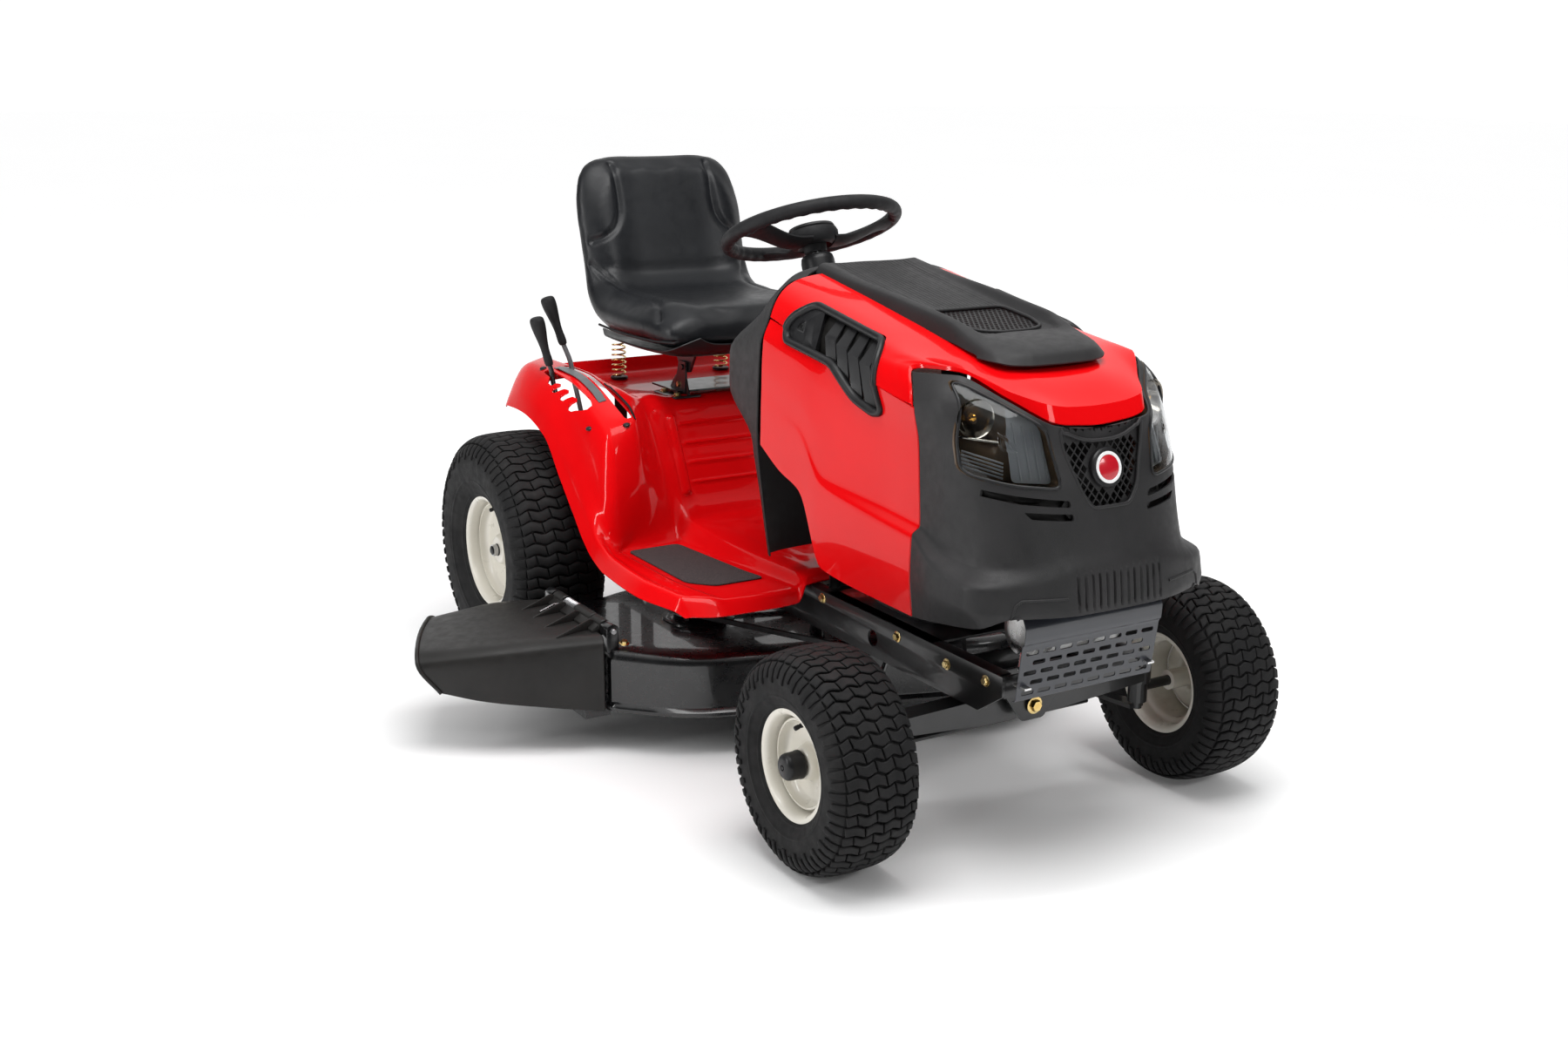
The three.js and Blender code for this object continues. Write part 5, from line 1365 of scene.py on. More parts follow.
def steering_wheel():
    hub = [(0, -48), (22, -48), (24, -30), (34, -36), (45, -33), (50, -26), (51, -12), (48, -5), (0, -5)]
    cap = [(0, -5), (44, -5), (46, -1), (44, 3.5), (40.5, 4.5), (38, 2.6), (34, 2.4), (20, 5.2), (8, 6.6),
           (0, 7)]
    tilt = Matrix.Rotation(-WHEEL_TILT, 3, "X")
    parts = [wheel_rim(), turned(hub, ORIGIN, Z_AXIS, 64)]
    parts += [wheel_spoke(angle, 26 if angle == 90 else 36) for angle in SPOKES]
    raw = moved_by(turned_by(merge(*parts), tilt), WHEEL_CENTRE)
    piece("hand_wheel_rim", raw, GRIP, "hand_wheel", ["steering_wheel"])
    raw = moved_by(turned_by(turned(cap, ORIGIN, Z_AXIS, 64), tilt), WHEEL_CENTRE)
    piece("hand_wheel_cap", raw, SMOOTH_PLASTIC, "hand_wheel")


# Seat: sections from the front edge to the top of the backrest, as centre, half width, half depth and lean.


SEAT = [
    (-316, 748, 150, 20, -0.2), (-300, 749, 196, 40, -0.15), (-230, 752, 218, 51, 0),
    (-120, 750, 224, 49, 0.05), (-10, 754, 224, 50, 0.2), (62, 790, 216, 50, 0.8), (90, 860, 212, 44, 1.2),
    (112, 950, 214, 40, 1.32), (134, 1030, 200, 36, 1.36), (146, 1070, 168, 26, 1.36),
    (150, 1084, 110, 12, 1.36),
]
SEAT_SHRINK, SEAT_SIDES, SEAT_ROUNDING = 5, 48, 2 / 2.9
VOXEL, CLOTH_PRESSURE, CLOTH_FRAMES, SWELL, SOFTEN_STEPS = 0.006, 4.0, 20, 7, 16
BOLSTER_CREASES = [
    [(120, 112, 1072), (118, 100, 1045), (116, 86, 1000), (119, 78, 960), (134, 70, 928), (166, 60, 910),
     (196, 64, 904)],
    [(192, 70, 850), (166, 30, 818), (154, -40, 808), (152, -120, 806), (160, -180, 804), (176, -218, 799),
     (190, -240, 786), (188, -250, 768)],
]
BACK_CREASES = [[(0, 34, 838), (60, 34, 838), (120, 36, 840), (170, 40, 848)]]


def loft(rows):
    """A closed mesh through closed sections, with flat ends."""
    count, around = len(rows), len(rows[0])
    faces = sheet_faces(count, around, wrap=True)
    faces += [list(range(around)), [(count - 1) * around + k for k in range(around)][::-1]]
    return np.array(rows).reshape(-1, 3), faces


def seat_loft():
    """The cushion's shape before it swells: a thick pad that is higher along its bolsters."""
    rows = []
    for y, z, w, h, lean in spline(np.array(SEAT), 5):
        row = []
        for k in range(SEAT_SIDES):
            a = tau * k / SEAT_SIDES
            c, s = cos(a), sin(a)
            x = (w - SEAT_SHRINK) * abs(c) ** SEAT_ROUNDING * (1 if c > 0 else -1)
            up = (h - SEAT_SHRINK) * abs(s) ** SEAT_ROUNDING * (1 if s > 0 else -1)
            if s > 0:
                out = abs(x) / w
                bolster = float(ease(out, 0.42, 0.72)) * (1 - float(ease(out, 0.8, 1.0)))
                up += h * s * (0.30 * bolster - 0.12)
            row.append([x, y - up * sin(lean), z + up * cos(lean)])
        rows.append(row)
    return loft(rows)


def inflate(obj, cap):
    """Swells a closed mesh as cloth over foam, lets no point pass the cap, and softens the creases."""
    remesh = obj.modifiers.new("remesh", "REMESH")
    remesh.mode = "VOXEL"
    remesh.voxel_size = VOXEL
    settle(obj)
    start = [v.co.copy() for v in obj.data.vertices]
    cloth = obj.modifiers.new("cloth", "CLOTH")
    cloth.settings.use_pressure = True
    cloth.settings.uniform_pressure_force = CLOTH_PRESSURE
    cloth.settings.effector_weights.gravity = 0
    cloth.settings.quality = 5
    cloth.point_cache.frame_start = 1
    cloth.point_cache.frame_end = CLOTH_FRAMES
    for number in range(1, CLOTH_FRAMES + 1):
        bpy.context.scene.frame_set(number)
    settle(obj)
    bpy.context.scene.frame_set(1)
    for vertex, home in zip(obj.data.vertices, start):
        move = vertex.co - home
        if move.length > cap * MM:
            vertex.co = home + move.normalized() * cap * MM
    soften = obj.modifiers.new("soften", "SMOOTH")
    soften.factor = 0.5
    soften.iterations = SOFTEN_STEPS
    settle(obj)


def subdivide(obj, levels=1):
    modifier = obj.modifiers.new("subdivision", "SUBSURF")
    modifier.levels = levels
    settle(obj)


def crease(obj, lines, depth, width):
    """Presses grooves into a mesh along lines that are first dropped on to its surface."""
    tree = BVHTree.FromPolygons([v.co for v in obj.data.vertices],
                                [list(f.vertices) for f in obj.data.polygons])
    samples = []
    for line in lines:
        for point in spline(np.array(line, float), 12):
            for sign in (1, -1):
                at = Vector(DATUM + point * [sign, 1, 1] * MM)
                samples.append(tree.find_nearest(at)[0])
    samples = np.array(samples)
    home = np.array([v.co for v in obj.data.vertices])
    normal = np.array([v.normal for v in obj.data.vertices])
    near = np.full(len(home), 1e9)
    for sample in samples:
        near = np.minimum(near, ((home - sample) ** 2).sum(1))
    push = depth * MM * np.exp(-near / (width * MM) ** 2)
    obj.data.vertices.foreach_set("co", (home - normal * push[:, None]).ravel())


def seat():
    cushion = to_mesh("seat_cushion_vinyl", seat_loft())
    inflate(cushion, SWELL)
    subdivide(cushion)
    crease(cushion, BOLSTER_CREASES, 6.5, 8)
    crease(cushion, BACK_CREASES, 5.0, 18)
    cushion.data.materials.append(VINYL)
    cushion.data.shade_smooth()
    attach(cushion, "seat")
    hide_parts("seat_cushion")
    seam = []
    for y, z, w, h, lean in spline(np.array(SEAT[1:5]), 8):
        seam.append([w - 13, y + (h * 0.5) * sin(lean), z - h * 0.5 * cos(lean)])
    front = [[x, -309 + 12 * (x / 183) ** 2, 730] for x in np.linspace(0, 168, 12)]
    half = np.array(front + seam)
    path = spline(np.vstack([half[:0:-1] * [-1, 1, 1], half]), 2)
    piece("seat_seam_welt", sweep(path, 2.6, 10), GRIP, "seat")


def seat_shell():
    """The moulded pan under the cushion, with its two pivot ears."""
    rows = []
    for y, low, wide in [(-316, 722, 130), (-300, 704, 176), (-250, 692, 192), (-120, 688, 196),
                         (0, 689, 192), (44, 697, 178)]:
        line = []
        for x in np.linspace(0, 1, 9):
            rise = 16 * x**6
            line.append([wide * x, y, low + rise])
        rows.append(line)
    grid = refine(both_sides(rows), 5, 3)
    ears = [prism(rounded([(-206, 645), (-168, 645), (-140, 688), (-232, 688)], 8), "x", 92, 98),
            rod((94, -188, 656), (108, -188, 656), 6)]
    ears += [mirror(raw) for raw in ears]
    piece("seat_pan_shell", skin(grid[::-1], 4), SMOOTH_PLASTIC, "seat", ["seat_pan"])
    piece("seat_pan_ears", merge(*ears), FRAME, "seat")


# Deck and chute


SPINDLE_R, SPINDLE_L, DECK_RADIUS, DECK_POINTS = (-235, -500), (235, -660), 255, 200
SPINDLE_TOWER = [(13, 196), (58, 196), (74, 204), (74, 207), (56, 209), (44, 216), (30, 217), (13, 217)]


def deck_outline(grow):
    """Plan outline of the deck: two round ends joined by straight sides, with the outlet at the right."""
    r = DECK_RADIUS + grow
    (ax, ay), (bx, by) = SPINDLE_R, SPINDLE_L
    slope = np.arctan2(by - ay, bx - ax)
    outline = [(bx + r * cos(slope + a), by + r * sin(slope + a)) for a in np.linspace(-pi / 2, pi / 2, 40)]
    left = [(ax + r * cos(slope + a), ay + r * sin(slope + a)) for a in np.linspace(pi / 2, 1.5 * pi, 48)]
    out_x = -486 - grow * 0.4
    back = [p for p in left if p[1] > -296 and p[0] > -400]
    front = [p for p in left if p[1] < -615 and p[0] > -420]
    return outline + back + [(out_x, -286 + grow * 0.5), (out_x, -612 - grow * 0.5)] + front


def deck():
    levels = [(88, 5), (86, 7.5), (89, 9.5), (95, 9), (99, 5), (102, 0.5), (106, 0), (184, 0), (193, -1.5),
              (199, -5), (203, -10), (205, -17), (205, -60)]
    rings = []
    for z, grow in levels:
        ring = spaced(np.array(deck_outline(grow)), DECK_POINTS)
        rings.append(np.column_stack([ring, np.full(DECK_POINTS, z)]))
    grid = np.array(rings)
    faces = sheet_faces(len(rings), DECK_POINTS, wrap=True)
    faces.append([(len(rings) - 1) * DECK_POINTS + k for k in range(DECK_POINTS)])
    points = grid.reshape(-1, 3)
    along = np.gradient(grid, axis=0)
    around = np.roll(grid, -1, 1) - np.roll(grid, 1, 1)
    n = np.cross(around, along).reshape(-1, 3)
    n /= np.maximum(np.linalg.norm(n, axis=1, keepdims=True), 1e-9)
    n[-DECK_POINTS:] = Z_AXIS
    shell = thicken(points, n, [face[::-1] for face in faces], 3.5)
    mouth = block((-530, -592, 70), (-478, -306, 190))
    bores = [rod((x, y, 150), (x, y, 260), 30) for x, y in (SPINDLE_R, SPINDLE_L)]
    piece("deck_pressing", shell, BLACK_GLOSS, "deck", ["deck_shell"], holes=[mouth, *bores])
    towers = []
    for x, y in (SPINDLE_R, SPINDLE_L):
        towers.append(turned(SPINDLE_TOWER, (x, y, 0), Z_AXIS, 48))
        turns = np.arange(4) * pi / 2 + 0.6
        towers += [bolt((x + 50 * cos(a), y + 50 * sin(a), 209.5), Z_AXIS) for a in turns]
    piece("spindle_housings", merge(*towers), BLACK_GLOSS, "deck")
    hangers = []
    for x, y in ((150, -430), (-150, -340), (90, -760), (-90, -720)):
        outline = rounded([(y - 26, 198), (y + 26, 198), (y + 18, 240), (y - 18, 240)], 8)
        hangers.append(prism(outline, "x", x - 3, x + 3))
    piece("deck_hangers", merge(*hangers), BLACK_GLOSS, "deck", edge=0.8)
    outline = rounded([(-489, 200), (-463, 200), (-463, 250), (-476, 257), (-489, 250)], 5)
    knuckles = [prism(outline, "y", y - 15, y + 15) for y in (-590, -330)]
    piece("chute_hinge_brackets", merge(*knuckles), BLACK_GLOSS, "deck", edge=1.0)
    piece("chute_hinge_bolts", merge(bolt((-452, -604, 214), (0, -0.2, 1), 12),
                                     bolt((-430, -330, 206), (0, 0, 1), 12)),
          ZINC, "deck")


CHUTE = [
    [[-500, -296, 120], [-500, -300, 224], [-494, -330, 234], [-493, -590, 234], [-500, -612, 222],
     [-502, -618, 90]],
    [[-570, -264, 140], [-572, -268, 222], [-576, -302, 231], [-585, -530, 226], [-590, -560, 210],
     [-594, -572, 100]],
    [[-646, -242, 156], [-648, -246, 209], [-664, -274, 219], [-714, -470, 212], [-722, -496, 196],
     [-708, -508, 114]],
    [[-692, -232, 168], [-694, -235, 199], [-716, -262, 211], [-796, -418, 203], [-806, -446, 186],
     [-768, -462, 126]],
]
HINGE_X, HINGE_Z = -476, 243


def chute():
    grid = refine(CHUTE, 8, [6, 6, 16, 6, 8])
    piece("chute_cover", skin(grid, 4), CHUTE_PLASTIC, "chute", ["discharge_chute"])
    edge = [grid[-1, j] for j in range(grid.shape[1])]
    piece("chute_end_lip", sweep(edge, 4.2, 12), CHUTE_PLASTIC, "chute")
    fin = [(-489, 229), (-489, 252), (-498, 254), (-566, 229), (-566, 224)]
    gussets = [prism(fin, "y", y, y + 4) for y in (-548, -484, -420, -362)]
    leaf = prism([(-502, 226), (-502, 238), (-484, 250), (-478, 246), (-486, 226)], "y", -568, -350)
    piece("chute_gussets", merge(*gussets, leaf), CHUTE_PLASTIC, "chute", edge=0.6)
    barrels = [rod((HINGE_X, a, HINGE_Z), (HINGE_X, b, HINGE_Z), 13, sides=32, chamfer=1.5)
               for a, b in ((-570, -528), (-524, -452), (-392, -350))]
    piece("chute_hinge_barrels", merge(*barrels), CHUTE_PLASTIC, "chute")
    pin = rod((HINGE_X, -612, HINGE_Z), (HINGE_X, -308, HINGE_Z), 5)
    piece("chute_hinge_rod", pin, STEEL, "chute")
    turns = 9
    coil = [[HINGE_X + 11 * cos(tau * t), -448 + 50 * t / turns, HINGE_Z + 11 * sin(tau * t)]
            for t in np.linspace(0, turns, turns * 14)]
    tail = [[HINGE_X - 30, -398, HINGE_Z + 2], [HINGE_X - 60, -399, HINGE_Z - 8]]
    piece("chute_return_spring", sweep(coil + tail, 1.5, 8), STEEL, "chute")


# Frame, exhaust and controls


RAIL = [(-1394, 335), (-1394, 300), (-1330, 258), (150, 258), (150, 335)]
GUARD_TOP, GUARD_LOW = np.array([0, -1441, 427]), np.array([0, -1423, 299])


def on_guard(x, down, out):
    """A point on the muffler guard: so far across, down from its top edge and out of it."""
    along = (GUARD_LOW - GUARD_TOP) / np.linalg.norm(GUARD_LOW - GUARD_TOP)
    outward = np.array([0, along[2], -along[1]])
    return GUARD_TOP + [x, 0, 0] + along * down + outward * out


def muffler_guard():
    long = float(np.linalg.norm(GUARD_LOW - GUARD_TOP))
    profile = [(-24, -18), (-8, -4), (0, 0), (24, 1.5), (28, -1), (34, -2.5), (long - 6, -2.5), (long, -4),
               (long + 3, -9)]
    grid = np.array([[on_guard(x, down, out) for x in np.linspace(-145, 145, 30)]
                     for down, out in spline(profile, 3)])
    slots = []
    for row in range(5):
        down = 40 + row * 18
        shift = 16 if row % 2 else 0
        for column in range(8 - row % 2):
            x = -136 + shift + column * 35
            outline = rounded([(x, down), (x + 26, down), (x + 26, down + 8), (x, down + 8)], 3.2, 4)
            slots.append(between([on_guard(a, b, 14) for a, b in outline],
                                 [on_guard(a, b, -20) for a, b in outline]))
    piece("muffler_guard_plate", skin(grid, 2.2), GUARD, "chassis", ["muffler_guard"],
          holes=slots)
    tabs = [block((s * 132 - 7, -1436, 322), (s * 132 + 7, -1404, 326)) for s in (1, -1)]
    piece("muffler_guard_tabs", merge(*tabs), SILVER, "chassis", edge=0.6)


def muffler():
    """An oval can lying across the front, with a rolled seam at each end."""
    rows = []
    half = [(118, 0.55), (116, 0.9), (112, 0.985), (108, 1.03), (103, 1.03), (100, 0.99), (60, 0.99),
            (56, 0.96), (52, 0.99)]
    for x, scale in [(-x, s) for x, s in half] + half[::-1]:
        x = 14 + x * 0.86
        turns = np.linspace(0, tau, 48, endpoint=False)
        rows.append([[x, -1346 + 42 * scale * cos(a), 392 + 46 * scale * sin(a)] for a in turns])
    piece("muffler_can", loft(rows), SILVER, "chassis", ["muffler"])
    outlet = ribbon([(9, 0), (9, 26), (10.5, 28)], 2)
    piece("muffler_outlet", turned(outlet, (-80, -1362, 352), (-0.5, -0.5, -0.7), 32), SILVER, "chassis")


def frame_rails():
    """Two channel rails with cross members, the front axle's hangers, and the dash and seat towers."""
    rail = prism(RAIL, "x", 147.5, 152.5)
    lighten = [rod((130, y, 292), (170, y, 292), 15, sides=32) for y in (-1010, -700, -560, -80)]
    half = [rail, block((124, -1380, 330), (150, 150, 335)), block((132, -1330, 258), (150, 140, 262))]
    half.append(prism(rounded([(-826, 331), (-802, 331), (-802, 862), (-826, 862)], 4), "x", 104, 109))
    half.append(block((104, -826, 331), (128, -822, 862)))
    half += [block((118, y - 4, 331), (148, y, 566)) for y in (-56, 60)]
    half.append(block((118, -60, 560), (148, 60, 566)))
    cross = [block((-150, -1190, 330), (150, -850, 335)), block((-150, -945, 282), (150, -875, 286)),
             block((-150, -420, 300), (150, -340, 304)), block((-148, 145, 258), (148, 150, 335)),
             block((-147, -1392, 296), (147, -1388, 335)),
             block((-128, -826, 850), (128, -802, 862)), rod((0, -1292, 226), (0, -1188, 226), 11),
             prism(rounded([(-44, 145), (44, 145), (44, 202), (-44, 202)], 10), "z", 258, 264)]
    for y in (-1285, -1195):
        hanger = rounded([(-148, 300), (-148, 262), (-70, 262), (-24, 198), (24, 198), (70, 262), (148, 262),
                          (148, 300)], 8)
        cross.append(prism(hanger, "y", y - 3, y + 3))
    holes = lighten + [mirror(raw) for raw in lighten]
    holes.append(rod((0, 172, 240), (0, 172, 280), 9))
    piece("frame_rails", merge(*half, mirror(merge(*half))), FRAME, "chassis",
          ["chassis_frame"], edge=0.9, holes=holes)
    piece("frame_cross_members", merge(*cross), FRAME, "chassis", edge=0.9)


def frame_details():
    bolts = []
    for s in (1, -1):
        for y, z in ((-1350, 316), (-1240, 312), (-1090, 318), (-840, 322), (-260, 300), (-180, 318)):
            bolts.append(bolt((s * 152.6, y, z), (s, 0, 0), 12))
    piece("frame_plate_bolts", merge(*bolts), ZINC, "chassis")
    piece("axle_pivot_bolt", merge(bolt((0, -1292, 226), (0, -1, 0), 19),
                                   bolt((0, -1188, 226), (0, 1, 0), 19)), ZINC,
          "chassis")


def seat_hinge():
    """The folded brackets and bolts that hold the seat's bracket to the platform."""
    gusset = prism(rounded([(-214, 596), (-118, 596), (-150, 634), (-196, 642)], 6), "x", 99, 102)
    foot = prism(rounded([(70, -216), (140, -216), (140, -116), (70, -116)], 12), "z", 593, 596.5)
    bolts = merge(bolt((122, -196, 596.5), (0, 0, 1), 11), bolt((122, -136, 596.5), (0, 0, 1), 11),
                  bolt((102, -170, 616), (1, 0, 0), 11))
    pair("seat_hinge_bracket", merge(gusset, foot), FRAME, "chassis", edge=0.7)
    pair("seat_hinge_bolts", bolts, ZINC, "chassis")


def seat_springs():
    for name, side in SIDES.items():
        turns, steps = 7, 200
        coil = []
        for t in np.linspace(0, 1, steps):
            reach = 15 * (1 - 0.15 * abs(2 * t - 1) ** 4)
            coil.append([side * 130 + reach * cos(tau * turns * t), 70 + reach * sin(tau * turns * t),
                         595 + 80 * t])
        piece(f"seat_coil_{name}", sweep(coil, 1.9, 10), ZINC, "chassis",
              [f"seat_spring_{name}"])
        cup = [(6, 592), (19, 592), (19.5, 596), (18, 597.5), (6, 597.5)]
        piece(f"seat_coil_cup_{name}", turned(cup, (side * 130, 70, 0), (0, 0, 1), 40), SMOOTH_PLASTIC,
              "chassis")


def index_strip():
    """The curved grey strip between the two lever slots, the lip inboard of them, and the fender's screws."""
    top = Surface(grid_raw(fender_surface()))
    for name, x, wide, first, last, lift, material in (
            ("speed_index_strip", -325, 8, -36, -258, 5.0, LAMP_GREY),
            ("speed_slot_lip", -287, 2.2, -190, -330, 7.0, SMOOTH_PLASTIC)):
        rows = []
        for y in np.linspace(first, last, 26):
            row = [top.top(x + u * wide, y) for u in (-1, -0.9, -0.3, 0.3, 0.9, 1)]
            rise = lift * (0.4 + 0.6 * float(band(y, last + 25, first - 25, 20)))
            rows.append([p + [0, 0, rise] for p in row])
        piece(name, skin(np.array(rows), 2.2), material, "chassis")
    screws = []
    for x, y in ((-349, -15), (-366, -280), (-312, -340)):
        at = top.top(x, y)
        screws.append(turned([(0, -2), (7.5, -2), (7.5, 1.2), (5.5, 3), (2, 3.6), (0, 3.6)], at,
                             (-0.25, -0.1, 1), 24))
    piece("fender_screws", merge(*screws), SMOOTH_PLASTIC, "chassis")


PIVOT_Y, PIVOT_Z = -200, 345


def lever(name, body, node, pivot_x, through, tip, stem_material):
    """A hand lever, from its pivot up through the fender to the tip of its grip."""
    through, tip = np.array(through, float), np.array(tip, float)
    axis = (tip - through) / np.linalg.norm(tip - through)

    def along(t, at_x):
        return [at_x, PIVOT_Y + (through[1] - PIVOT_Y) * t, PIVOT_Z + (through[2] - PIVOT_Z) * t]

    path = [along(0, pivot_x), along(0.25, pivot_x), along(0.5, through[0]), along(0.8, through[0]), through,
            tip - axis * 100, tip - axis * 60]
    hub = rod((pivot_x - 9, PIVOT_Y, PIVOT_Z), (pivot_x + 9, PIVOT_Y, PIVOT_Z), 15)
    stem = sweep(spline(np.array(path), 5), 5.2, 14)
    piece(f"{name}_stem", merge(stem, hub), stem_material, body, [node])
    grip = [(0, -106), (7.5, -106), (9.4, -103), (10.4, -96), (10.2, -88), (9.6, -80), (9.8, -70),
            (11.6, -54), (14.4, -38), (16.6, -24), (17.4, -13), (16.8, -6), (14, -1.5), (8, 0.4), (0, 1)]
    points, faces = turned(spline(np.array(grip, float), 3), ORIGIN, Z_AXIS, 40)
    turn = Vector((0, 0, 1)).rotation_difference(Vector(axis)).to_matrix()
    raw = moved_by(turned_by((points * [0.86, 1.06, 1], faces), turn), tip)
    piece(f"{name}_grip", raw, GRIP, body)


def pedal():
    arm = prism(rounded([(-734, 292), (-718, 292), (-734, 432), (-752, 434)], 4), "x", 242, 250)
    axle = rod((158, -728, 300), (252, -728, 300), 7)
    piece("brake_pedal_arm", merge(arm, axle), FRAME, "pedal", ["brake_pedal"], edge=0.8)
    pad = prism(rounded([(-762, 420), (-706, 446), (-710, 454), (-766, 428)], 2.5), "x", 206, 286)
    ribs = []
    for k in range(6):
        t = (k + 0.5) / 6
        y, z = -764 + 56 * t, 428.5 + 26 * t
        ribs.append(sweep([[209, y, z], [283, y, z]], 2.4, 8))
    piece("brake_pedal_pad", merge(pad, *ribs), GRIP, "pedal", edge=0.7)


def dash_controls():
    base, tip = on_face(THROTTLE_X, 0, -26), on_face(THROTTLE_X, 0, 44)
    hub = rod((-118, base[1], base[2]), (-106, base[1], base[2]), 8)
    piece("throttle_stem", merge(rod(base, on_face(THROTTLE_X, 0, 30), 3), hub), STEEL, "throttle",
          ["throttle_lever"])
    knob = [(0, 0), (7, 0), (9, 2), (9.6, 8), (11, 16), (10.6, 19), (7, 21), (0, 21.6)]
    axis = tip - base
    piece("throttle_knob", turned(knob, on_face(THROTTLE_X, 0, 22), axis, 32), GRIP, "throttle")
    barrel = rod(on_face(KEY_X, 0, -20), on_face(KEY_X, 0, 11), 7.6)
    piece("key_barrel", barrel, STEEL, "key", ["ignition_key"])
    bow = rounded([(-12, 0), (12, 0), (14, 9), (9, 17), (-9, 17), (-14, 9)], 5)
    front = [on_face(KEY_X + a, -2.2, 12 + b) for a, b in bow]
    back = [on_face(KEY_X + a, 2.2, 12 + b) for a, b in bow]
    piece("key_bow", between(front, back), GRIP, "key", edge=0.8)


# Nodes that keep their CAD shape take their finish here.


KEPT = {
    "transaxle": CAST, "engine_block": CAST, "engine_shroud": SMOOTH_PLASTIC, "fuel_tank": TANK,
    "seat_bracket": FRAME, "steering_shaft": STEEL, "steering_pinion": STEEL, "sector_gear": STEEL,
    "drag_link": FRAME, "tie_rod": FRAME, "front_axle": FRAME, "spindle_right": FRAME, "spindle_left": FRAME,
    "axle_shaft_right": STEEL, "axle_shaft_left": STEEL, "blade_right": STEEL, "blade_left": STEEL,
    "blade_spindle_right": CAST, "blade_spindle_left": CAST, "drive_belt": GRIP, "crank_pulley": CAST,
}


def finish_kept_nodes():
    for name, material in KEPT.items():
        obj = frame["nodes"][name]
        for slot in obj.material_slots:
            slot.material = material


# Camera, light and floor

CAMERA_AT = (-1877.3, -3589.0, 1329.8)
CAMERA_AZIMUTH, CAMERA_ELEVATION, CAMERA_ROLL = -33.05, 15.53, 0.93
SENSOR_WIDTH, FOCAL_LENGTH, SHIFT = 36, 41.484, (-0.0435, 0.013833)
SKY = [((0, 0, 1), -1.2, -1.1, 0.03), ((0, 0, 1), 0.4, 0.85, 0.62), ((0.55, 0.84, 0.1), 0.35, 0.85, 0.8)]
# The floor glows, from nothing near the machine to full strength further out: painted light that whitens the
# far floor and lifts the shadow round the machine.
PAINTED_GLOW_START, PAINTED_GLOW_END, FLOOR_PAINTED_GLOW = 0.55, 2.6, 0.5
LIGHT_TARGET = (0, -600, 450)
LIGHTS = [("overhead", (-300, -1500, 3300), (2.6, 1.8), 85),
          ("right_wall", (-3600, -300, 1900), (0.35, 2.6), 55),
          ("front_wall", (700, -4600, 2500), (2.0, 0.5), 32)]


def camera():
    azimuth, elevation, roll = radians(CAMERA_AZIMUTH), radians(CAMERA_ELEVATION), radians(CAMERA_ROLL)
    back = Vector((sin(azimuth) * cos(elevation), -cos(azimuth) * cos(elevation), sin(elevation)))
    right = (-back).cross(Vector((0, 0, 1))).normalized()
    up = right.cross(-back)
    columns = (cos(roll) * right + sin(roll) * up, cos(roll) * up - sin(roll) * right, back)
    turn = Matrix(columns).transposed().to_4x4()
    data = bpy.data.cameras.new("camera")
    data.sensor_width, data.lens = SENSOR_WIDTH, FOCAL_LENGTH
    data.shift_x, data.shift_y = SHIFT
    data.clip_end = 60
    obj = bpy.data.objects.new("camera", data)
    obj.matrix_world = Matrix.Translation(DATUM + np.array(CAMERA_AT) * MM) @ turn
    bpy.context.scene.collection.objects.link(obj)
    bpy.context.scene.camera = obj


def soft_light(name, at, size, power):
    data = bpy.data.lights.new(name, "AREA")
    data.shape = "RECTANGLE"
    data.size, data.size_y = size
    data.energy = power
    obj = bpy.data.objects.new(name, data)
    obj.location = DATUM + np.array(at) * MM
    away = obj.location - Vector(DATUM + np.array(LIGHT_TARGET) * MM)
    obj.rotation_euler = away.to_track_quat("Z", "Y").to_euler()
    bpy.context.scene.collection.objects.link(obj)


def sky(nodes, links):
    """The studio's walls and ceiling: bright overhead and behind the object, and dim all round."""
    direction = nodes.new("ShaderNodeTexCoord").outputs["Generated"]
    level = None
    for towards, low, high, strength in SKY:
        along = nodes.new("ShaderNodeVectorMath")
        along.operation = "DOT_PRODUCT"
        along.inputs[1].default_value = Vector(towards).normalized()
        links.new(direction, along.inputs[0])
        ramp = nodes.new("ShaderNodeMapRange")
        ramp.interpolation_type = "SMOOTHSTEP"
        for key, value in zip(("From Min", "From Max", "To Min", "To Max"), (low, high, 0, strength)):
            ramp.inputs[key].default_value = value
        links.new(along.outputs["Value"], ramp.inputs["Value"])
        if level is None:
            level = ramp.outputs["Result"]
            continue
        total = nodes.new("ShaderNodeMath")
        links.new(level, total.inputs[0])
        links.new(ramp.outputs["Result"], total.inputs[1])
        level = total.outputs["Value"]
    return level


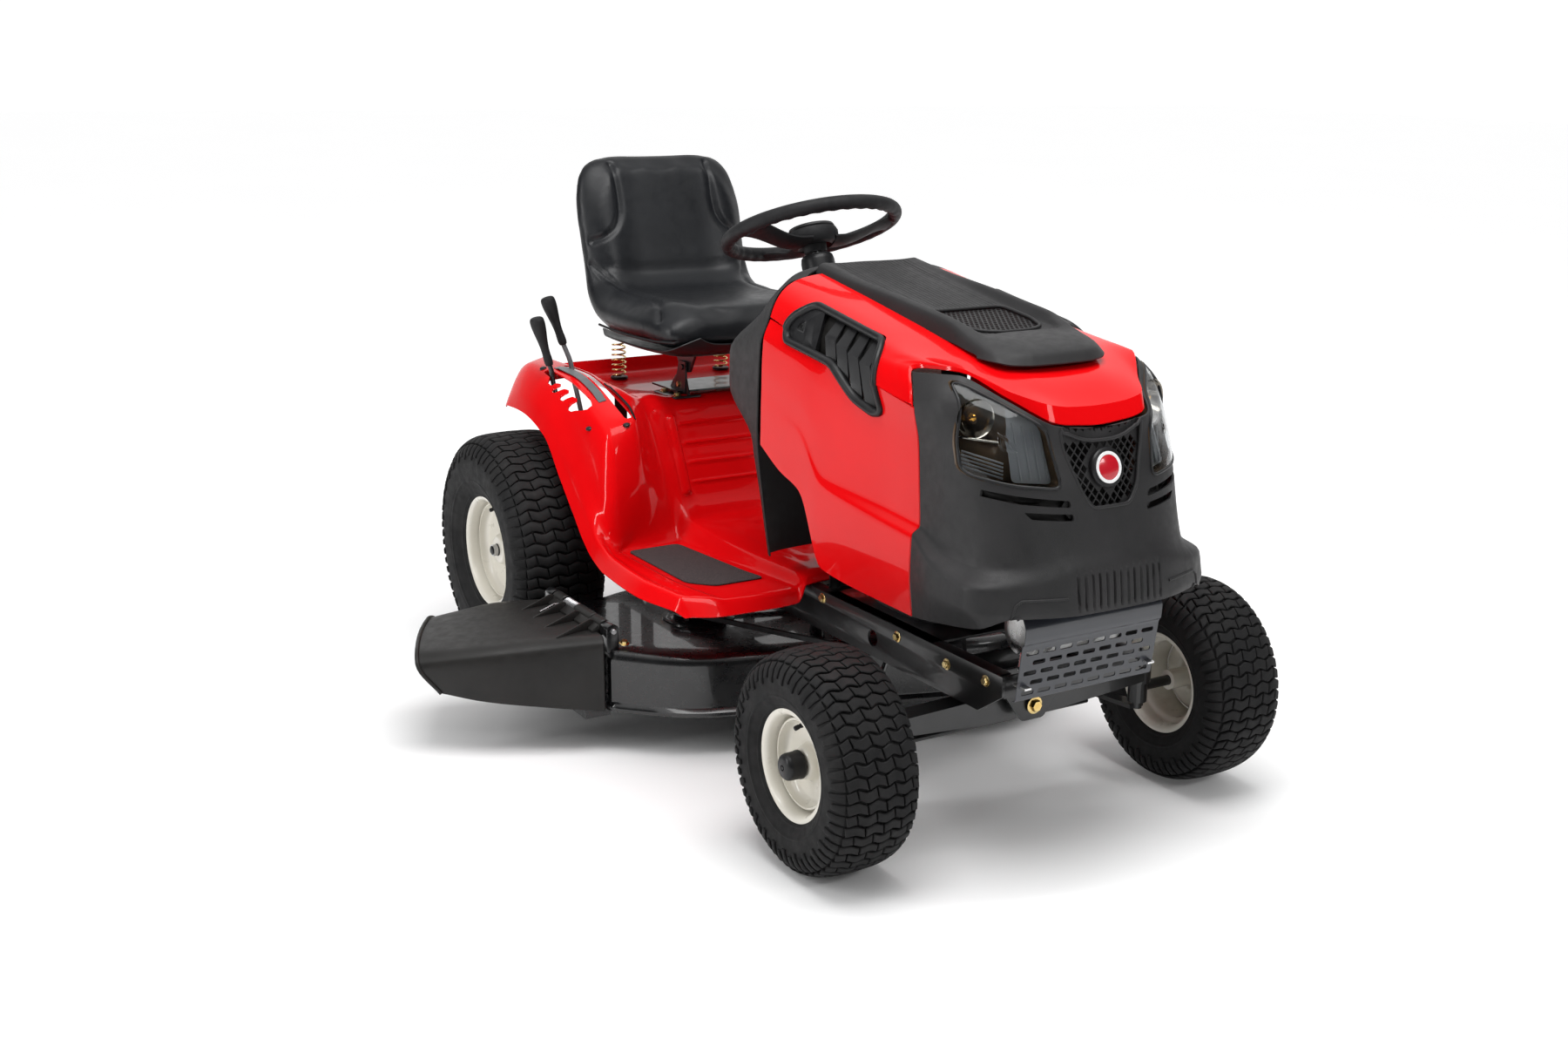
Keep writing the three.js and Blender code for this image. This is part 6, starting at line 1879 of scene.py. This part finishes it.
def studio():
    corners = [[[x, y, 0] for x in np.linspace(-30000, 30000, 4)] for y in np.linspace(30000, -30000, 4)]
    floor = to_mesh("floor", skin(np.array(corners, float), 20))
    m = Nodes("studio_floor")
    # Painted light: the floor glows more the further it is from the machine, which lightens the shadow away
    # from it.
    reach = m.add("ShaderNodeVectorMath", {"Vector": m.place()}, operation="LENGTH").outputs["Value"]
    floor.data.materials.append(m.set(
        Base_Color=m.blend(m.ramp(m.noise(0.6), 0, 1), (0.88, 0.88, 0.885), (0.90, 0.90, 0.90)),
        Roughness=0.85, Specular_IOR_Level=0.1, Emission_Color=(1.0, 1.0, 1.0),
        Emission_Strength=m.ramp(reach, 0, FLOOR_PAINTED_GLOW, PAINTED_GLOW_START, PAINTED_GLOW_END),
    ))
    world = bpy.data.worlds.new("studio")
    world.use_nodes = True
    nodes, links = world.node_tree.nodes, world.node_tree.links
    dim = nodes["Background"]
    dim.inputs["Color"].default_value = (1, 1, 1, 1)
    links.new(sky(nodes, links), dim.inputs["Strength"])
    white = nodes.new("ShaderNodeBackground")
    white.inputs["Color"].default_value = (1, 1, 1, 1)
    white.inputs["Strength"].default_value = 1.1
    seen = nodes.new("ShaderNodeMixShader")
    links.new(nodes.new("ShaderNodeLightPath").outputs["Is Camera Ray"], seen.inputs["Fac"])
    links.new(dim.outputs[0], seen.inputs[1])
    links.new(white.outputs[0], seen.inputs[2])
    links.new(seen.outputs[0], nodes["World Output"].inputs["Surface"])
    bpy.context.scene.world = world
    bpy.context.scene.view_settings.view_transform = "Standard"
    for light in LIGHTS:
        soft_light(*light)


fender()
foot_mats()
dash()
column_boot()
hood_skins()
side_vents()
hood_cap()
bezel()
grille()
headlamps()
wheels()
steering_wheel()
seat()
seat_shell()
deck()
chute()
muffler_guard()
muffler()
frame_rails()
frame_details()
seat_hinge()
seat_springs()
index_strip()
lever("lift_lever", "lift_lever_body", "lift_lever", -290, (-349, -60, 642), (-378, -52, 762), FRAME)
lever("speed_lever", "speed_lever_body", "speed_lever", -262, (-300, -52, 650), (-343, -30, 800), LAMP_GREY)
pedal()
dash_controls()
finish_kept_nodes()
camera()
studio()
